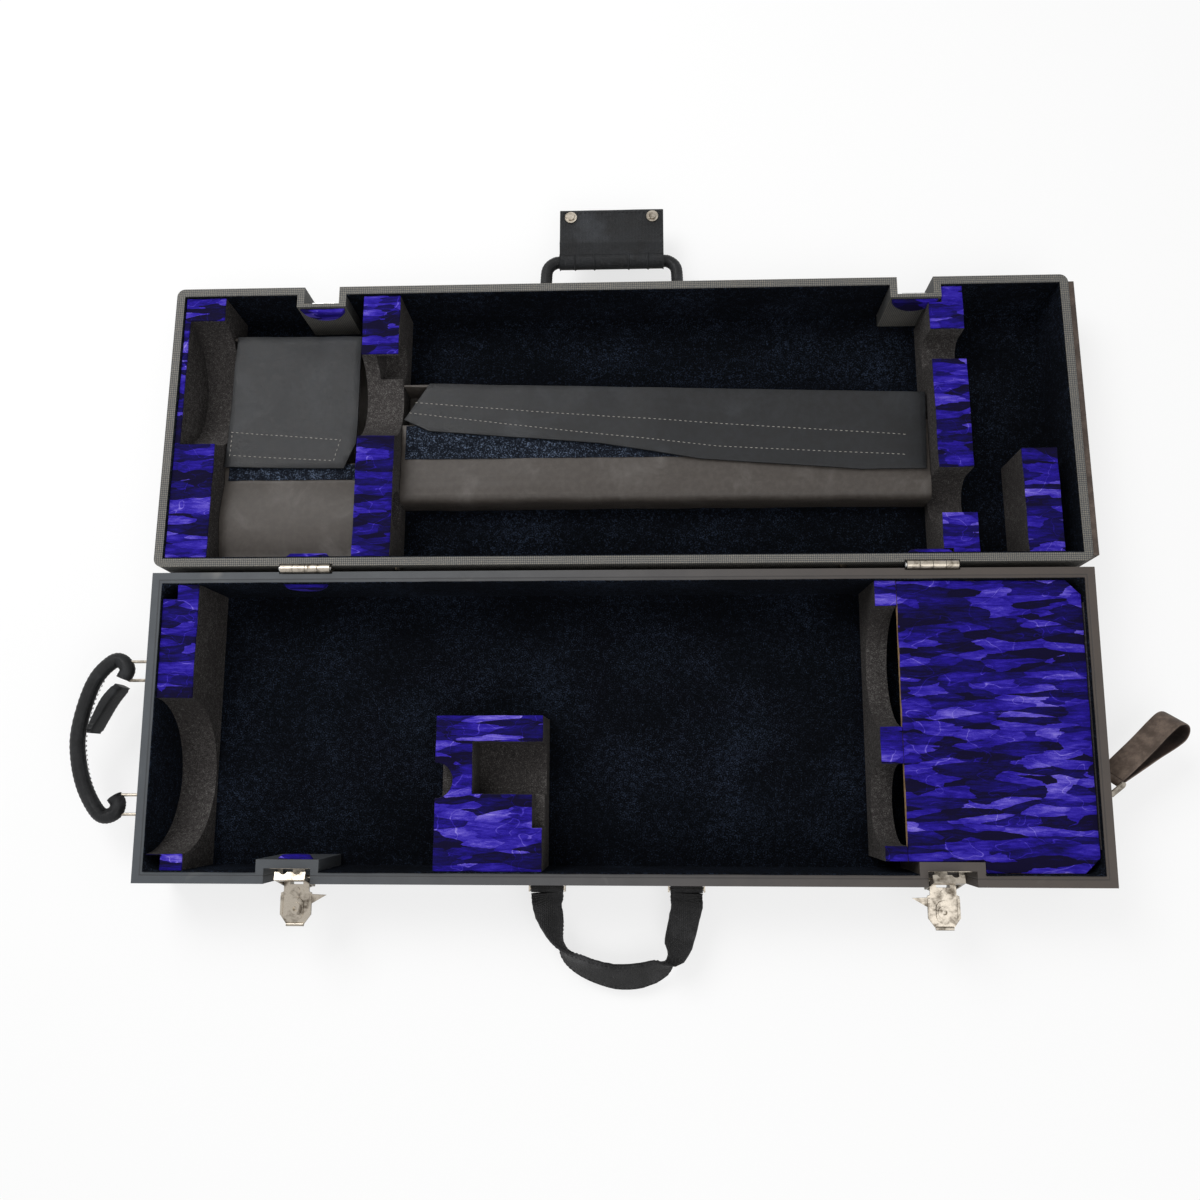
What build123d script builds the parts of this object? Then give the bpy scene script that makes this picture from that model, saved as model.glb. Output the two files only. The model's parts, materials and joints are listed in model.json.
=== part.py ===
"""A hard clarinet case, standing open: a deep base, a shallower lid laid back on its
hinges, padded blocks shaped to what it carries, two draw latches and four handles.

Millimetres. The origin is the centre of the base's bottom face, +X along the case, +Y
towards the hinges and the lid, +Z up. The lid's pieces are drawn on lid_frame: x along
the case, y away from the hinge line, z up out of the open lid.
"""

from build123d import *
from math import asin, atan2, cos, degrees, hypot, radians, sin
import os

os.makedirs("parts", exist_ok=True)

# ---------------------------------------------------------------- shell
case_length = 780.0
case_width = 254.0
base_height = 71.0
lid_height = 61.0
base_wall = 9.0
lid_wall = 7.0
panel = 4.0
lining = 1.2
lip_height = 1.5  # the base lining stands above the rim and enters the lid
lining_corner = 12.0
lid_corner = 7.0

# ---------------------------------------------------------------- hinges
hinge_setback = 2.65  # from the hinge line to each back wall
rim_gap = 0.3  # between the two rims when the case is shut
hinge_length = 42.0
hinge_inset = 130.5  # from each end of the case to a hinge's centre
knuckle_count = 4
knuckle_radius = 3.85
knuckle_gap = 0.4
pin_radius = 1.6
pin_clearance = 0.05
pin_end = 0.5  # the pin stands out of the last knuckles by this much
leaf_thickness = 1.5
leaf_height = 22.0
table_clearance = 0.2  # under the far edge of the open lid

hinge_spread = case_length - 2 * hinge_inset
hinge_y = case_width / 2 + hinge_setback
hinge_z = base_height + rim_gap
far_edge = hinge_setback + case_width
lid_reach = hypot(far_edge, lid_height)
lid_droop = degrees(
    asin((hinge_z - table_clearance) / lid_reach) - atan2(lid_height, far_edge)
)
lid_frame = Plane(
    origin=(0, hinge_y, hinge_z),
    x_dir=(1, 0, 0),
    z_dir=(0, sin(radians(lid_droop)), cos(radians(lid_droop))),
)
base_hinge_frame = Plane(origin=(0, hinge_y, hinge_z), x_dir=(-1, 0, 0), z_dir=(0, 0, 1))
print(f"the open lid leans {lid_droop:.3f} degrees below level")

# ---------------------------------------------------------------- interior levels
half_length = case_length / 2
half_width = case_width / 2
base_inner_x = half_length - base_wall
base_inner_y = half_width - base_wall
base_room_x = base_inner_x - lining
base_room_y = base_inner_y - lining
base_floor = panel + lining
velvet = 1.2
base_velvet_top = base_height - 0.5
base_block_top = base_velvet_top - velvet

lid_inner_x = half_length - lid_wall
lid_near = hinge_setback + lid_wall  # inner face of the lid's hinge wall
lid_far = far_edge - lid_wall  # inner face of the lid's front wall
lid_room_x = lid_inner_x - lining
lid_room_near = lid_near + lining
lid_room_far = lid_far - lining
lid_floor = -(lid_height - panel - lining)
lid_velvet_top = -(lip_height + 0.7)
lid_block_top = lid_velvet_top - velvet
block_corner = 3.0

# ---------------------------------------------------------------- latch recesses
latch_inset = 132.5  # from each end of the case to a latch's centre
recess_inset = 126.5
recess_width = 38.0
recess_depth = 12.2
recess_height = 44.0
recess_wall = 6.5
recess_back = 7.0
notch_inset = 130.2
notch_width = 31.0
notch_depth = 15.8
notch_side = 6.3
notch_back = 3.0

screw_radius = 1.4
screw_length = 6.0
screw_clearance = 0.05
head_radius = 2.7
head_height = 0.6
head_taper = 20.0
hinge_screw_rows = (-14.0, 0.0, 14.0)
hinge_screw_drop = 13.0
bracket_screw_row = 9.0
bracket_screw_z = 43.0
strike_screw_row = 7.0
sheet = 1.2  # metal of the small fittings

latch_x = half_length - latch_inset
recess_x = half_length - recess_inset
notch_x = half_length - notch_inset
front_y = -half_width
recess_back_y = front_y + recess_depth
recess_box_y = recess_back_y + recess_back
recess_bottom = base_height - recess_height
notch_v = far_edge - notch_depth
notch_box_v = notch_v - notch_back

# ---------------------------------------------------------------- base blocks
left_block_width = 30.0
bed_radius = 63.0
bed_y = -41.0
bed_rise = 1.5  # the round bed's axis above the rim
centre_block = (-146.0, -59.0)  # from, to along X
centre_block_back = 7.0
cradle = (half_length - 178.0, half_length - 160.6)
lid_board_left = cradle[1] + 0.5
front_clear = 0.5  # between a board's edge and the recess box

# ---------------------------------------------------------------- lid blocks
lid_left_width = 35.3
lid_scoop_v = 169.8
lid_scoop_radius = 58.0
lid_scoop_rise = 5.0
lid_scoop_wall = 4.5
lid_cradle = (-222.5, -190.0)
socket_radius = 17.0
upper_socket_v = 196.0
lower_socket_v = 56.0
lid_fork = (half_length - 119.0, half_length - 90.0)
end_block = (half_length - 50.0, half_length - 21.0)
end_block_far = 100.3


def export(piece, name):
    """Name a finished piece and write it to its own file."""
    piece.part.label = name
    export_step(piece.part, f"parts/{name}.step")


def slab(low, high, mode=Mode.ADD):
    """A box between two corners, in the frame of the block around it."""
    size = [b - a for a, b in zip(low, high)]
    centre = [(a + b) / 2 for a, b in zip(low, high)]
    with Locations(tuple(centre)):
        Box(*size, mode=mode)


def rod(centre, radius, length, mode=Mode.ADD):
    """A round bar along X."""
    with Locations(tuple(centre)):
        Cylinder(radius, length, rotation=(0, 90, 0), mode=mode)


def bar(frame, start, along, radius, length, sides=8, taper=0.0, mode=Mode.ADD):
    """A small many-sided bar inside a circle, or a hole round one, for screws and pins."""
    end = tuple(Vector(*start) + Vector(*along))
    low, high = (frame.from_local_coords(tuple(point)) for point in (start, end))
    with BuildSketch(Plane(origin=tuple(low), z_dir=tuple(high - low))) as section:
        RegularPolygon(radius, sides, major_radius=mode != Mode.SUBTRACT)
    extrude(section.sketch, amount=length, taper=taper, mode=mode)


def pilot(frame, spot):
    """A screw's blind hole into a wall from a point on its face, along the frame's +Y."""
    bar(frame, spot, (0, 1, 0), screw_radius, screw_length, mode=Mode.SUBTRACT)


def lid_level(height):
    """The plane a given height above the open lid's rim plane."""
    return lid_frame.offset(height)


def lid_section(x):
    """The plane across the lid at x: its own x away from the hinges, its own y up."""
    return Plane(
        origin=(x, hinge_y, hinge_z),
        x_dir=tuple(lid_frame.y_dir),
        z_dir=(1, 0, 0),
    )


# ================================================================ base shell
with BuildPart() as base_walls:
    with BuildSketch():
        Rectangle(case_length, case_width)
        Rectangle(2 * base_inner_x, 2 * base_inner_y, mode=Mode.SUBTRACT)
    extrude(amount=base_height)
    for side in (-1, 1):
        box_half = recess_width / 2 + recess_wall
        slab(
            (side * recess_x - box_half, front_y, base_floor),
            (side * recess_x + box_half, recess_box_y, base_height),
        )
        slab(
            (side * recess_x - recess_width / 2, front_y - 1, recess_bottom),
            (side * recess_x + recess_width / 2, recess_back_y, base_height + 1),
            mode=Mode.SUBTRACT,
        )
        rod(
            (side * hinge_spread / 2, hinge_y, hinge_z),
            knuckle_radius + 0.5,
            hinge_length + 3,
            mode=Mode.SUBTRACT,
        )
        for row in hinge_screw_rows:
            pilot(base_hinge_frame, (side * hinge_spread / 2 + row, hinge_setback, -hinge_screw_drop))
        for spot in (-1, 1):
            pilot(Plane.XY, (side * recess_x + spot * bracket_screw_row, recess_back_y, bracket_screw_z))
export(base_walls, "base_walls")

with BuildPart() as base_bottom:
    with BuildSketch():
        Rectangle(2 * base_inner_x, 2 * base_inner_y)
    extrude(amount=panel)
export(base_bottom, "base_bottom")

with BuildPart() as base_lining:
    with BuildSketch(Plane.XY.offset(panel)):
        Rectangle(2 * base_inner_x, 2 * base_inner_y)
    extrude(amount=base_height + lip_height - panel)
    with BuildSketch(Plane.XY.offset(base_floor)):
        RectangleRounded(2 * base_room_x, 2 * base_room_y, lining_corner)
    extrude(amount=base_height, mode=Mode.SUBTRACT)
    for side in (-1, 1):
        box_half = recess_width / 2 + recess_wall
        slab(
            (side * recess_x - box_half, -half_width, base_floor),
            (side * recess_x + box_half, recess_box_y, base_height + lip_height + 1),
            mode=Mode.SUBTRACT,
        )
export(base_lining, "base_lining")

# ================================================================ base blocks
left_block_x = -base_room_x + left_block_width


def round_bed(inner_x, far_x):
    """Cut the round bed in the left block between two stations along X."""
    with Locations(((inner_x + far_x) / 2, bed_y, base_height + bed_rise)):
        Cylinder(
            bed_radius,
            abs(inner_x - far_x),
            rotation=(0, 90, 0),
            mode=Mode.SUBTRACT,
        )


with BuildPart() as base_left_block:
    slab(
        (-base_room_x, -base_room_y + lining_corner, base_floor),
        (left_block_x, base_room_y - lining_corner, base_block_top),
    )
    slab(
        (-base_room_x + lining_corner, -base_room_y, base_floor),
        (left_block_x, base_room_y, base_block_top),
    )
    round_bed(-half_length, left_block_x + 1)
export(base_left_block, "base_left_block")

with BuildPart() as base_left_velvet:
    slab(
        (-base_room_x, -base_room_y + lining_corner, base_block_top),
        (left_block_x, base_room_y - lining_corner, base_velvet_top),
    )
    slab(
        (-base_room_x + lining_corner, -base_room_y, base_block_top),
        (left_block_x, base_room_y, base_velvet_top),
    )
    round_bed(-half_length, left_block_x + 1)
export(base_left_velvet, "base_left_velvet")

key_pocket = ((-116.0, -56.0), (centre_block[1] + 1, -14.0))
key_pocket_depth = 40.0
step_pocket = ((-67.0, -82.5), (centre_block[1] + 1, -55.0))
step_pocket_depth = 22.0
neck_y = -45.0
neck_radius = 14.3
neck_depth = 34.0


def centre_outline():
    """The centre block seen from above."""
    with Locations(((centre_block[0] + centre_block[1]) / 2, 0)):
        width = centre_block[1] - centre_block[0]
        length = base_room_y + centre_block_back
        with Locations((0, centre_block_back - length / 2)):
            Rectangle(width, length)


def pocket(corners, top, depth):
    """A square-cornered pocket let into a block's top."""
    slab((*corners[0], top - depth), (*corners[1], top + 5), mode=Mode.SUBTRACT)


with BuildPart() as base_centre_block:
    with BuildSketch(Plane.XY.offset(base_floor)):
        centre_outline()
    extrude(amount=base_block_top - base_floor)
    pocket(key_pocket, base_velvet_top, key_pocket_depth)
    pocket(step_pocket, base_velvet_top, step_pocket_depth)
    with BuildSketch(Plane.XY.offset(base_block_top)):
        with Locations((centre_block[0], neck_y)):
            Circle(neck_radius)
    extrude(amount=-neck_depth, mode=Mode.SUBTRACT)
export(base_centre_block, "base_centre_block")

with BuildPart() as base_centre_velvet:
    with BuildSketch(Plane.XY.offset(base_block_top)):
        centre_outline()
        with Locations((centre_block[0], neck_y)):
            Circle(neck_radius, mode=Mode.SUBTRACT)
    extrude(amount=velvet)
    pocket(key_pocket, base_velvet_top, key_pocket_depth)
    pocket(step_pocket, base_velvet_top, step_pocket_depth)
export(base_centre_velvet, "base_centre_velvet")

cradle_front = recess_box_y + front_clear
joint_scoops = ((46.6, 49.0, 2.0), (-63.5, 32.0, -16.0))  # centre y, radius, rise over rim


def joint_scoop_cut():
    """Cut the right cradle's two round-bottomed slots."""
    middle = (cradle[0] + cradle[1]) / 2
    for y, radius, rise in joint_scoops:
        rod(
            (middle, y, base_height + rise),
            radius,
            cradle[1] - cradle[0] + 2,
            mode=Mode.SUBTRACT,
        )
        if rise < 0:
            slab(
                (cradle[0] - 1, y - radius, base_height + rise),
                (cradle[1] + 1, y + radius, base_height + 2),
                mode=Mode.SUBTRACT,
            )


with BuildPart() as base_right_cradle:
    slab((cradle[0], cradle_front, base_floor), (cradle[1], base_room_y, base_block_top))
    joint_scoop_cut()
export(base_right_cradle, "base_right_cradle")

with BuildPart() as base_right_velvet:
    slab((cradle[0], cradle_front, base_block_top), (cradle[1], base_room_y, base_velvet_top))
    joint_scoop_cut()
export(base_right_velvet, "base_right_velvet")

# ================================================================ covered compartment
board_thickness = 4.0
board_top = base_height - 1.0 - velvet
board_right = base_room_x - 1.9
board_clear = 0.5
board_front_left = recess_box_y + front_clear
board_front_right = -base_room_y + board_clear
recess_right_edge = recess_x + recess_width / 2 + recess_wall
board_corner = recess_right_edge + front_clear
strip_thickness = 1.0
strip_height = 14.0
strip_clear = 18.8  # from the room's corner to the strip's end
strip_length = 2 * (base_room_y - strip_clear)
board_axis_x = board_right + 0.4
board_axis_z = board_top + velvet


# The compartment lid seen from above, cut back round the latch recess.
board_outline = (
    (lid_board_left, board_front_left),
    (board_corner, board_front_left),
    (board_corner, board_front_right),
    (board_right - lining_corner, board_front_right),
    (board_right, board_front_right + lining_corner),
    (board_right, base_room_y - board_clear - lining_corner),
    (board_right - lining_corner, base_room_y - board_clear),
    (lid_board_left, base_room_y - board_clear),
)

with BuildPart() as compartment_lid_board:
    with BuildSketch(Plane.XY.offset(board_top - board_thickness)):
        Polygon(*board_outline, align=None)
    extrude(amount=board_thickness)
export(compartment_lid_board, "compartment_lid_board")

with BuildPart() as compartment_lid_velvet:
    with BuildSketch(Plane.XY.offset(board_top)):
        Polygon(*board_outline, align=None)
    extrude(amount=velvet)
export(compartment_lid_velvet, "compartment_lid_velvet")

with BuildPart() as compartment_hinge_strip:
    slab(
        (base_room_x - strip_thickness, -strip_length / 2, board_axis_z - strip_height),
        (base_room_x, strip_length / 2, board_axis_z),
    )
export(compartment_hinge_strip, "compartment_hinge_strip")

cleat = 4.0
cleat_height = 8.0
cleat_top = board_top - board_thickness - 0.3
with BuildPart() as compartment_cleats:
    slab(
        (lid_board_left + 12, base_room_y - cleat, cleat_top - cleat_height),
        (base_room_x - lining_corner - 2, base_room_y, cleat_top),
    )
    slab(
        (board_corner + 8, -base_room_y, cleat_top - cleat_height),
        (base_room_x - lining_corner - 2, -base_room_y + cleat, cleat_top),
    )
export(compartment_cleats, "compartment_cleats")


# ================================================================ velvet pads over screws
def half_moon(plane, width, height, thickness):
    """A puffed velvet patch: straight along its top, round below, crowned outwards."""
    inset = thickness
    with BuildSketch(plane) as foot:
        with BuildLine():
            Line((-width / 2, 0), (width / 2, 0))
            ThreePointArc((width / 2, 0), (0, -height), (-width / 2, 0))
        make_face()
    with BuildSketch(plane.offset(thickness)) as crown:
        with BuildLine():
            Line((-width / 2 + inset, -inset / 2), (width / 2 - inset, -inset / 2))
            ThreePointArc(
                (width / 2 - inset, -inset / 2),
                (0, -height + inset),
                (-width / 2 + inset, -inset / 2),
            )
        make_face()
    loft([foot.sketch, crown.sketch], ruled=True)


pad_thickness = 3.5
hinge_pad = (38.0, 19.0)
latch_pad = (30.0, 15.0)
lid_latch_pad = (42.0, 21.0)
hidden_pad_drop = base_height - cleat_top + cleat_height + 1


def facing(origin, normal, up):
    """A plane on a wall: its z out of the wall, its y up the wall."""
    out = Vector(*normal)
    return Plane(origin=origin, x_dir=tuple(Vector(*up).cross(out)), z_dir=normal)


with BuildPart() as base_screw_pads:
    for side in (-1, 1):
        drop = 0.5 if side < 0 else hidden_pad_drop
        hinge_spot = (side * hinge_spread / 2, base_room_y, base_height - drop)
        half_moon(facing(hinge_spot, (0, -1, 0), (0, 0, 1)), *hinge_pad, pad_thickness)
        latch_spot = (side * latch_x, recess_box_y, base_height - drop)
        half_moon(facing(latch_spot, (0, 1, 0), (0, 0, 1)), *latch_pad, pad_thickness)
export(base_screw_pads, "base_screw_pads")

lid_up = tuple(lid_frame.z_dir)
lid_out = tuple(lid_frame.y_dir)
lid_back = tuple(-lid_frame.y_dir)
lid_pad_top = -(lip_height - rim_gap + 0.8)  # clear of the shut base's lip
with BuildPart() as lid_screw_pads:
    for side in (-1, 1):
        near = lid_frame.from_local_coords((side * hinge_spread / 2, lid_room_near, lid_pad_top))
        half_moon(facing(near, lid_out, lid_up), *hinge_pad, pad_thickness)
        far = lid_frame.from_local_coords((side * notch_x, notch_box_v, lid_pad_top))
        half_moon(facing(far, lid_back, lid_up), *lid_latch_pad, pad_thickness)
export(lid_screw_pads, "lid_screw_pads")

# ================================================================ lid shell
with BuildPart(lid_frame) as lid_walls:
    with BuildSketch(lid_level(0)):
        with Locations((0, (hinge_setback + far_edge) / 2)):
            RectangleRounded(case_length, case_width, lid_corner)
        with Locations((0, (lid_near + lid_far) / 2)):
            Rectangle(2 * lid_inner_x, lid_far - lid_near, mode=Mode.SUBTRACT)
    extrude(amount=-lid_height)
    for side in (-1, 1):
        box_half = notch_width / 2 + notch_side
        slab(
            (side * notch_x - box_half, notch_box_v, lid_floor),
            (side * notch_x + box_half, lid_far + 1, 0),
        )
        slab(
            (side * notch_x - notch_width / 2, notch_v, -lid_height - 1),
            (side * notch_x + notch_width / 2, far_edge + 1, 1),
            mode=Mode.SUBTRACT,
        )
        rod(
            (side * hinge_spread / 2, 0, 0),
            knuckle_radius + 0.5,
            hinge_length + 3,
            mode=Mode.SUBTRACT,
        )
        for row in hinge_screw_rows:
            pilot(lid_frame, (side * hinge_spread / 2 + row, hinge_setback, -hinge_screw_drop))
export(lid_walls, "lid_walls")

with BuildPart(lid_frame) as lid_panel:
    slab((-lid_inner_x, lid_near, -lid_height), (lid_inner_x, lid_far, -lid_height + panel))
    for side in (-1, 1):
        slab(
            (side * notch_x - notch_width / 2, notch_v, -lid_height - 1),
            (side * notch_x + notch_width / 2, far_edge, 0),
            mode=Mode.SUBTRACT,
        )
export(lid_panel, "lid_panel")

with BuildPart(lid_frame) as lid_lining:
    slab((-lid_inner_x, lid_near, -lid_height + panel), (lid_inner_x, lid_far, -0.5))
    with BuildSketch(lid_level(lid_floor)):
        with Locations((0, (lid_near + lid_far) / 2)):
            Rectangle(2 * lid_room_x, lid_room_far - lid_room_near)
    extrude(amount=lid_height, mode=Mode.SUBTRACT)
    for side in (-1, 1):
        box_half = notch_width / 2 + notch_side
        slab(
            (side * notch_x - box_half, notch_box_v, -lid_height),
            (side * notch_x + box_half, far_edge, 1),
            mode=Mode.SUBTRACT,
        )
export(lid_lining, "lid_lining")

# ================================================================ lid blocks
lid_left_x = -lid_room_x + lid_left_width
fork_slots = ((195.2, 13.9, -22.0), (64.8, 19.7, -26.0))  # centre v, radius, bottom centre


def lid_scoop_cut():
    """Cut the round bed in the lid's left block, keeping a thin wall at the end."""
    start = -lid_room_x + lid_scoop_wall
    rod(
        ((start + lid_left_x + 1) / 2, lid_scoop_v, lid_scoop_rise),
        lid_scoop_radius,
        lid_left_x + 1 - start,
        mode=Mode.SUBTRACT,
    )


with BuildPart(lid_frame) as lid_left_block:
    slab((-lid_room_x, lid_room_near, lid_floor), (lid_left_x, lid_room_far, lid_block_top))
    lid_scoop_cut()
export(lid_left_block, "lid_left_block")

cradle_dish = ((118.0, 193.7), 30.0)  # from, to; depth
dish_half = (cradle_dish[0][1] - cradle_dish[0][0]) / 2
dish_radius = (dish_half**2 + cradle_dish[1] ** 2) / (2 * cradle_dish[1])
dish_centre = (
    (lid_cradle[0] + lid_cradle[1]) / 2,
    sum(cradle_dish[0]) / 2,
    lid_velvet_top - cradle_dish[1] + dish_radius,
)
cradle_width = lid_cradle[1] - lid_cradle[0]

socket_depth = 20.0
socket_drop = -22.0
with BuildPart(lid_frame) as lid_left_cradle:
    slab((lid_cradle[0], lid_room_near, lid_floor), (lid_cradle[1], lid_room_far, lid_block_top))
    rod(dish_centre, dish_radius, cradle_width + 2, mode=Mode.SUBTRACT)
    for v in (lower_socket_v, upper_socket_v):
        rod(
            (lid_cradle[1] - socket_depth / 2 + 1, v, socket_drop),
            socket_radius,
            socket_depth + 2,
            mode=Mode.SUBTRACT,
        )
export(lid_left_cradle, "lid_left_cradle")


def fork_cut():
    """Cut the forked cradle's two round-bottomed slots."""
    middle = (lid_fork[0] + lid_fork[1]) / 2
    for v, radius, drop in fork_slots:
        rod((middle, v, drop), radius, lid_fork[1] - lid_fork[0] + 2, mode=Mode.SUBTRACT)
        slab(
            (lid_fork[0] - 1, v - radius, drop),
            (lid_fork[1] + 1, v + radius, 2),
            mode=Mode.SUBTRACT,
        )


notch_edge = notch_x + notch_width / 2 + notch_side
pad_edge = (hinge_spread + hinge_pad[0]) / 2
fork_near = lid_room_near + pad_thickness + 0.4
fork_far = notch_box_v - pad_thickness - 0.4


def fork_body(bottom, top):
    """The forked cradle, stepped back from the notch's box and from the velvet pads."""
    slab((lid_fork[0], fork_near, bottom), (lid_fork[1], fork_far, top))
    slab((notch_edge + 0.4, fork_far - 1, bottom), (lid_fork[1], lid_room_far, top))
    slab((pad_edge + 0.4, lid_room_near, bottom), (lid_fork[1], fork_near + 1, top))
    fork_cut()


with BuildPart(lid_frame) as lid_right_cradle:
    fork_body(lid_floor, lid_block_top)
export(lid_right_cradle, "lid_right_cradle")

with BuildPart(lid_frame) as lid_end_block:
    slab(
        (end_block[0], lid_room_near, lid_floor),
        (end_block[1], end_block_far, lid_block_top),
    )
export(lid_end_block, "lid_end_block")

with BuildPart(lid_frame) as lid_left_velvet:
    slab(
        (-lid_room_x, lid_room_near, lid_block_top),
        (lid_left_x, lid_room_far, lid_velvet_top),
    )
    lid_scoop_cut()
export(lid_left_velvet, "lid_left_velvet")

with BuildPart(lid_frame) as lid_cradle_velvet:
    slab(
        (lid_cradle[0], lid_room_near, lid_block_top),
        (lid_cradle[1], lid_room_far, lid_velvet_top),
    )
    rod(dish_centre, dish_radius, cradle_width + 2, mode=Mode.SUBTRACT)
    fork_body(lid_block_top, lid_velvet_top)
    slab(
        (end_block[0], lid_room_near, lid_block_top),
        (end_block[1], end_block_far, lid_velvet_top),
    )
export(lid_cradle_velvet, "lid_cradle_velvet")

# ================================================================ lid pouches
leather = 2.0
tape = 0.8
flap_clear = 0.3
pouch_top = -28.0
pouch_side_clear = 0.3
short_mouth = 102.0
short_tape_width = 15.0
short_hinge = 222.0
long_front = 66.0
long_mouth = 137.0
long_flap_edge = 91.0
long_hinge_left = 175.0
long_hinge_right = 161.0
short_pouch_x = (lid_left_x + pouch_side_clear, lid_cradle[0] - pouch_side_clear)
long_pouch_x = (lid_cradle[1] + pouch_side_clear, lid_fork[0] - pouch_side_clear)
flap_under = pouch_top + tape + flap_clear
flap_axis_drop = flap_under + leather / 2


def pouch(x_span, front, crest, mouth, back_left, back_right, crown):
    """A leather pocket sewn from one sheet: floor, front, bulging top and back."""
    x0, x1 = x_span
    bend = 8.0
    floor_top = lid_floor + leather
    inside = pouch_top - leather
    floor_end = min(back_left, back_right) - 4
    top_start = front + bend
    middle = (top_start + crest) / 2
    with BuildSketch(lid_section(x0)) as profile:
        with BuildLine():
            Line((front, lid_floor), (front, pouch_top - bend))
            TangentArc((front, pouch_top - bend), (top_start, pouch_top), tangent=(0, 1))
            ThreePointArc((top_start, pouch_top), (middle, pouch_top + crown), (crest, pouch_top))
            Polyline((crest, pouch_top), (mouth, pouch_top), (mouth, inside), (crest, inside))
            ThreePointArc((crest, inside), (middle, inside + crown), (top_start, inside))
            TangentArc((top_start, inside), (front + leather, pouch_top - bend), tangent=(-1, 0))
            Polyline(
                (front + leather, pouch_top - bend),
                (front + leather, floor_top),
                (floor_end, floor_top),
                (floor_end, lid_floor),
                (front, lid_floor),
            )
        make_face()
    extrude(profile.sketch, amount=x1 - x0)
    with BuildSketch(lid_level(lid_floor)) as floor:
        Polygon(
            (x0, floor_end - 2),
            (x0, back_left),
            (x1, back_right),
            (x1, floor_end - 2),
            align=None,
        )
    extrude(floor.sketch, amount=leather)
    with BuildSketch(lid_level(lid_floor)) as back:
        Polygon(
            (x0, back_left - leather),
            (x0, back_left),
            (x1, back_right),
            (x1, back_right - leather),
            align=None,
        )
    extrude(back.sketch, amount=flap_under - flap_clear - lid_floor)


with BuildPart(lid_frame) as short_pouch:
    short_front = lid_room_near + 0.3
    crest = short_mouth - short_tape_width - 2
    pouch(short_pouch_x, short_front, crest, short_mouth, short_hinge, short_hinge, 5.0)
export(short_pouch, "short_pouch")

with BuildPart(lid_frame) as long_pouch:
    crest = long_flap_edge - 2
    pouch(long_pouch_x, long_front, crest, long_mouth, long_hinge_left, long_hinge_right, 1.0)
export(long_pouch, "long_pouch")

long_tape = ((long_pouch_x[0] + 4, 74.0), 32.0)  # from, to along X; width
with BuildPart(lid_frame) as pouch_tapes:
    slab(
        (short_pouch_x[0] + 4, short_mouth - short_tape_width, pouch_top),
        (short_pouch_x[1] - 4, short_mouth - 1, pouch_top + tape),
    )
    slab(
        (long_tape[0][0], long_mouth - long_tape[1], pouch_top),
        (long_tape[0][1], long_mouth - 1, pouch_top + tape),
    )
export(pouch_tapes, "pouch_tapes")

short_flap_edge = 97.0
with BuildPart(lid_frame) as short_flap:
    with BuildSketch(lid_level(flap_under)):
        Polygon(
            (short_pouch_x[0] + 4, short_hinge),
            (short_pouch_x[0] + 1, short_flap_edge + 1),
            (short_pouch_x[1] - 16, short_flap_edge - 1),
            (short_pouch_x[1] - 6, short_flap_edge + 22),
            (short_pouch_x[1] - 6, short_hinge - 1),
            align=None,
        )
    extrude(amount=leather)
export(short_flap, "short_flap")

with BuildPart(lid_frame) as long_flap:
    with BuildSketch(lid_level(flap_under)):
        Polygon(
            (long_pouch_x[0] + 24, long_hinge_left - 0.5),
            (long_pouch_x[1] - 1, long_hinge_right),
            (long_pouch_x[1] - 4, long_flap_edge),
            (211.0, long_flap_edge),
            (73.0, 102.0),
            (-14.0, 117.0),
            (-165.0, 130.0),
            (long_pouch_x[0] + 2, 141.0),
            align=None,
        )
    extrude(amount=leather)
export(long_flap, "long_flap")

# ================================================================ hinges
pitch = hinge_length / knuckle_count


def hinge_leaves(frame):
    """Both leaves on one shell, with every other knuckle, bored for the pins."""
    with BuildPart(frame) as leaves:
        for side in (-1, 1):
            centre = side * hinge_spread / 2
            leaf_y = hinge_setback - leaf_thickness
            slab(
                (centre - hinge_length / 2, leaf_y, -leaf_height),
                (centre + hinge_length / 2, hinge_setback, 0),
            )
            rod((centre, 0, 0), knuckle_radius + 0.3, hinge_length + 1, mode=Mode.SUBTRACT)
            for i in range(0, knuckle_count, 2):
                x = centre - hinge_length / 2 + pitch * (i + 0.5)
                length = pitch - knuckle_gap
                rod((x, 0, 0), knuckle_radius, length)
                slab(
                    (x - length / 2, leaf_y, -knuckle_radius - 1),
                    (x + length / 2, hinge_setback, -1),
                )
            bar(
                frame,
                (centre - hinge_length, 0, 0),
                (1, 0, 0),
                pin_radius + pin_clearance,
                2 * hinge_length,
                sides=12,
                mode=Mode.SUBTRACT,
            )
            for row in hinge_screw_rows:
                bar(
                    frame,
                    (centre + row, leaf_y, -hinge_screw_drop),
                    (0, 1, 0),
                    screw_radius + screw_clearance,
                    2 * leaf_thickness,
                    mode=Mode.SUBTRACT,
                )
    return leaves


def wood_screw(frame, spot):
    """A low-headed screw at a point on a plate, driven along the frame's own +Y."""
    bar(frame, spot, (0, 1, 0), screw_radius, screw_length)
    bar(frame, spot, (0, -1, 0), head_radius, head_height, sides=16, taper=head_taper)


def hinge_screws(frame):
    """The screws of both leaves on one shell, with their low heads on the leaves."""
    with BuildPart(frame) as screws:
        for side in (-1, 1):
            for row in hinge_screw_rows:
                spot = (
                    side * hinge_spread / 2 + row,
                    hinge_setback - leaf_thickness,
                    -hinge_screw_drop,
                )
                wood_screw(frame, spot)
    return screws


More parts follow.
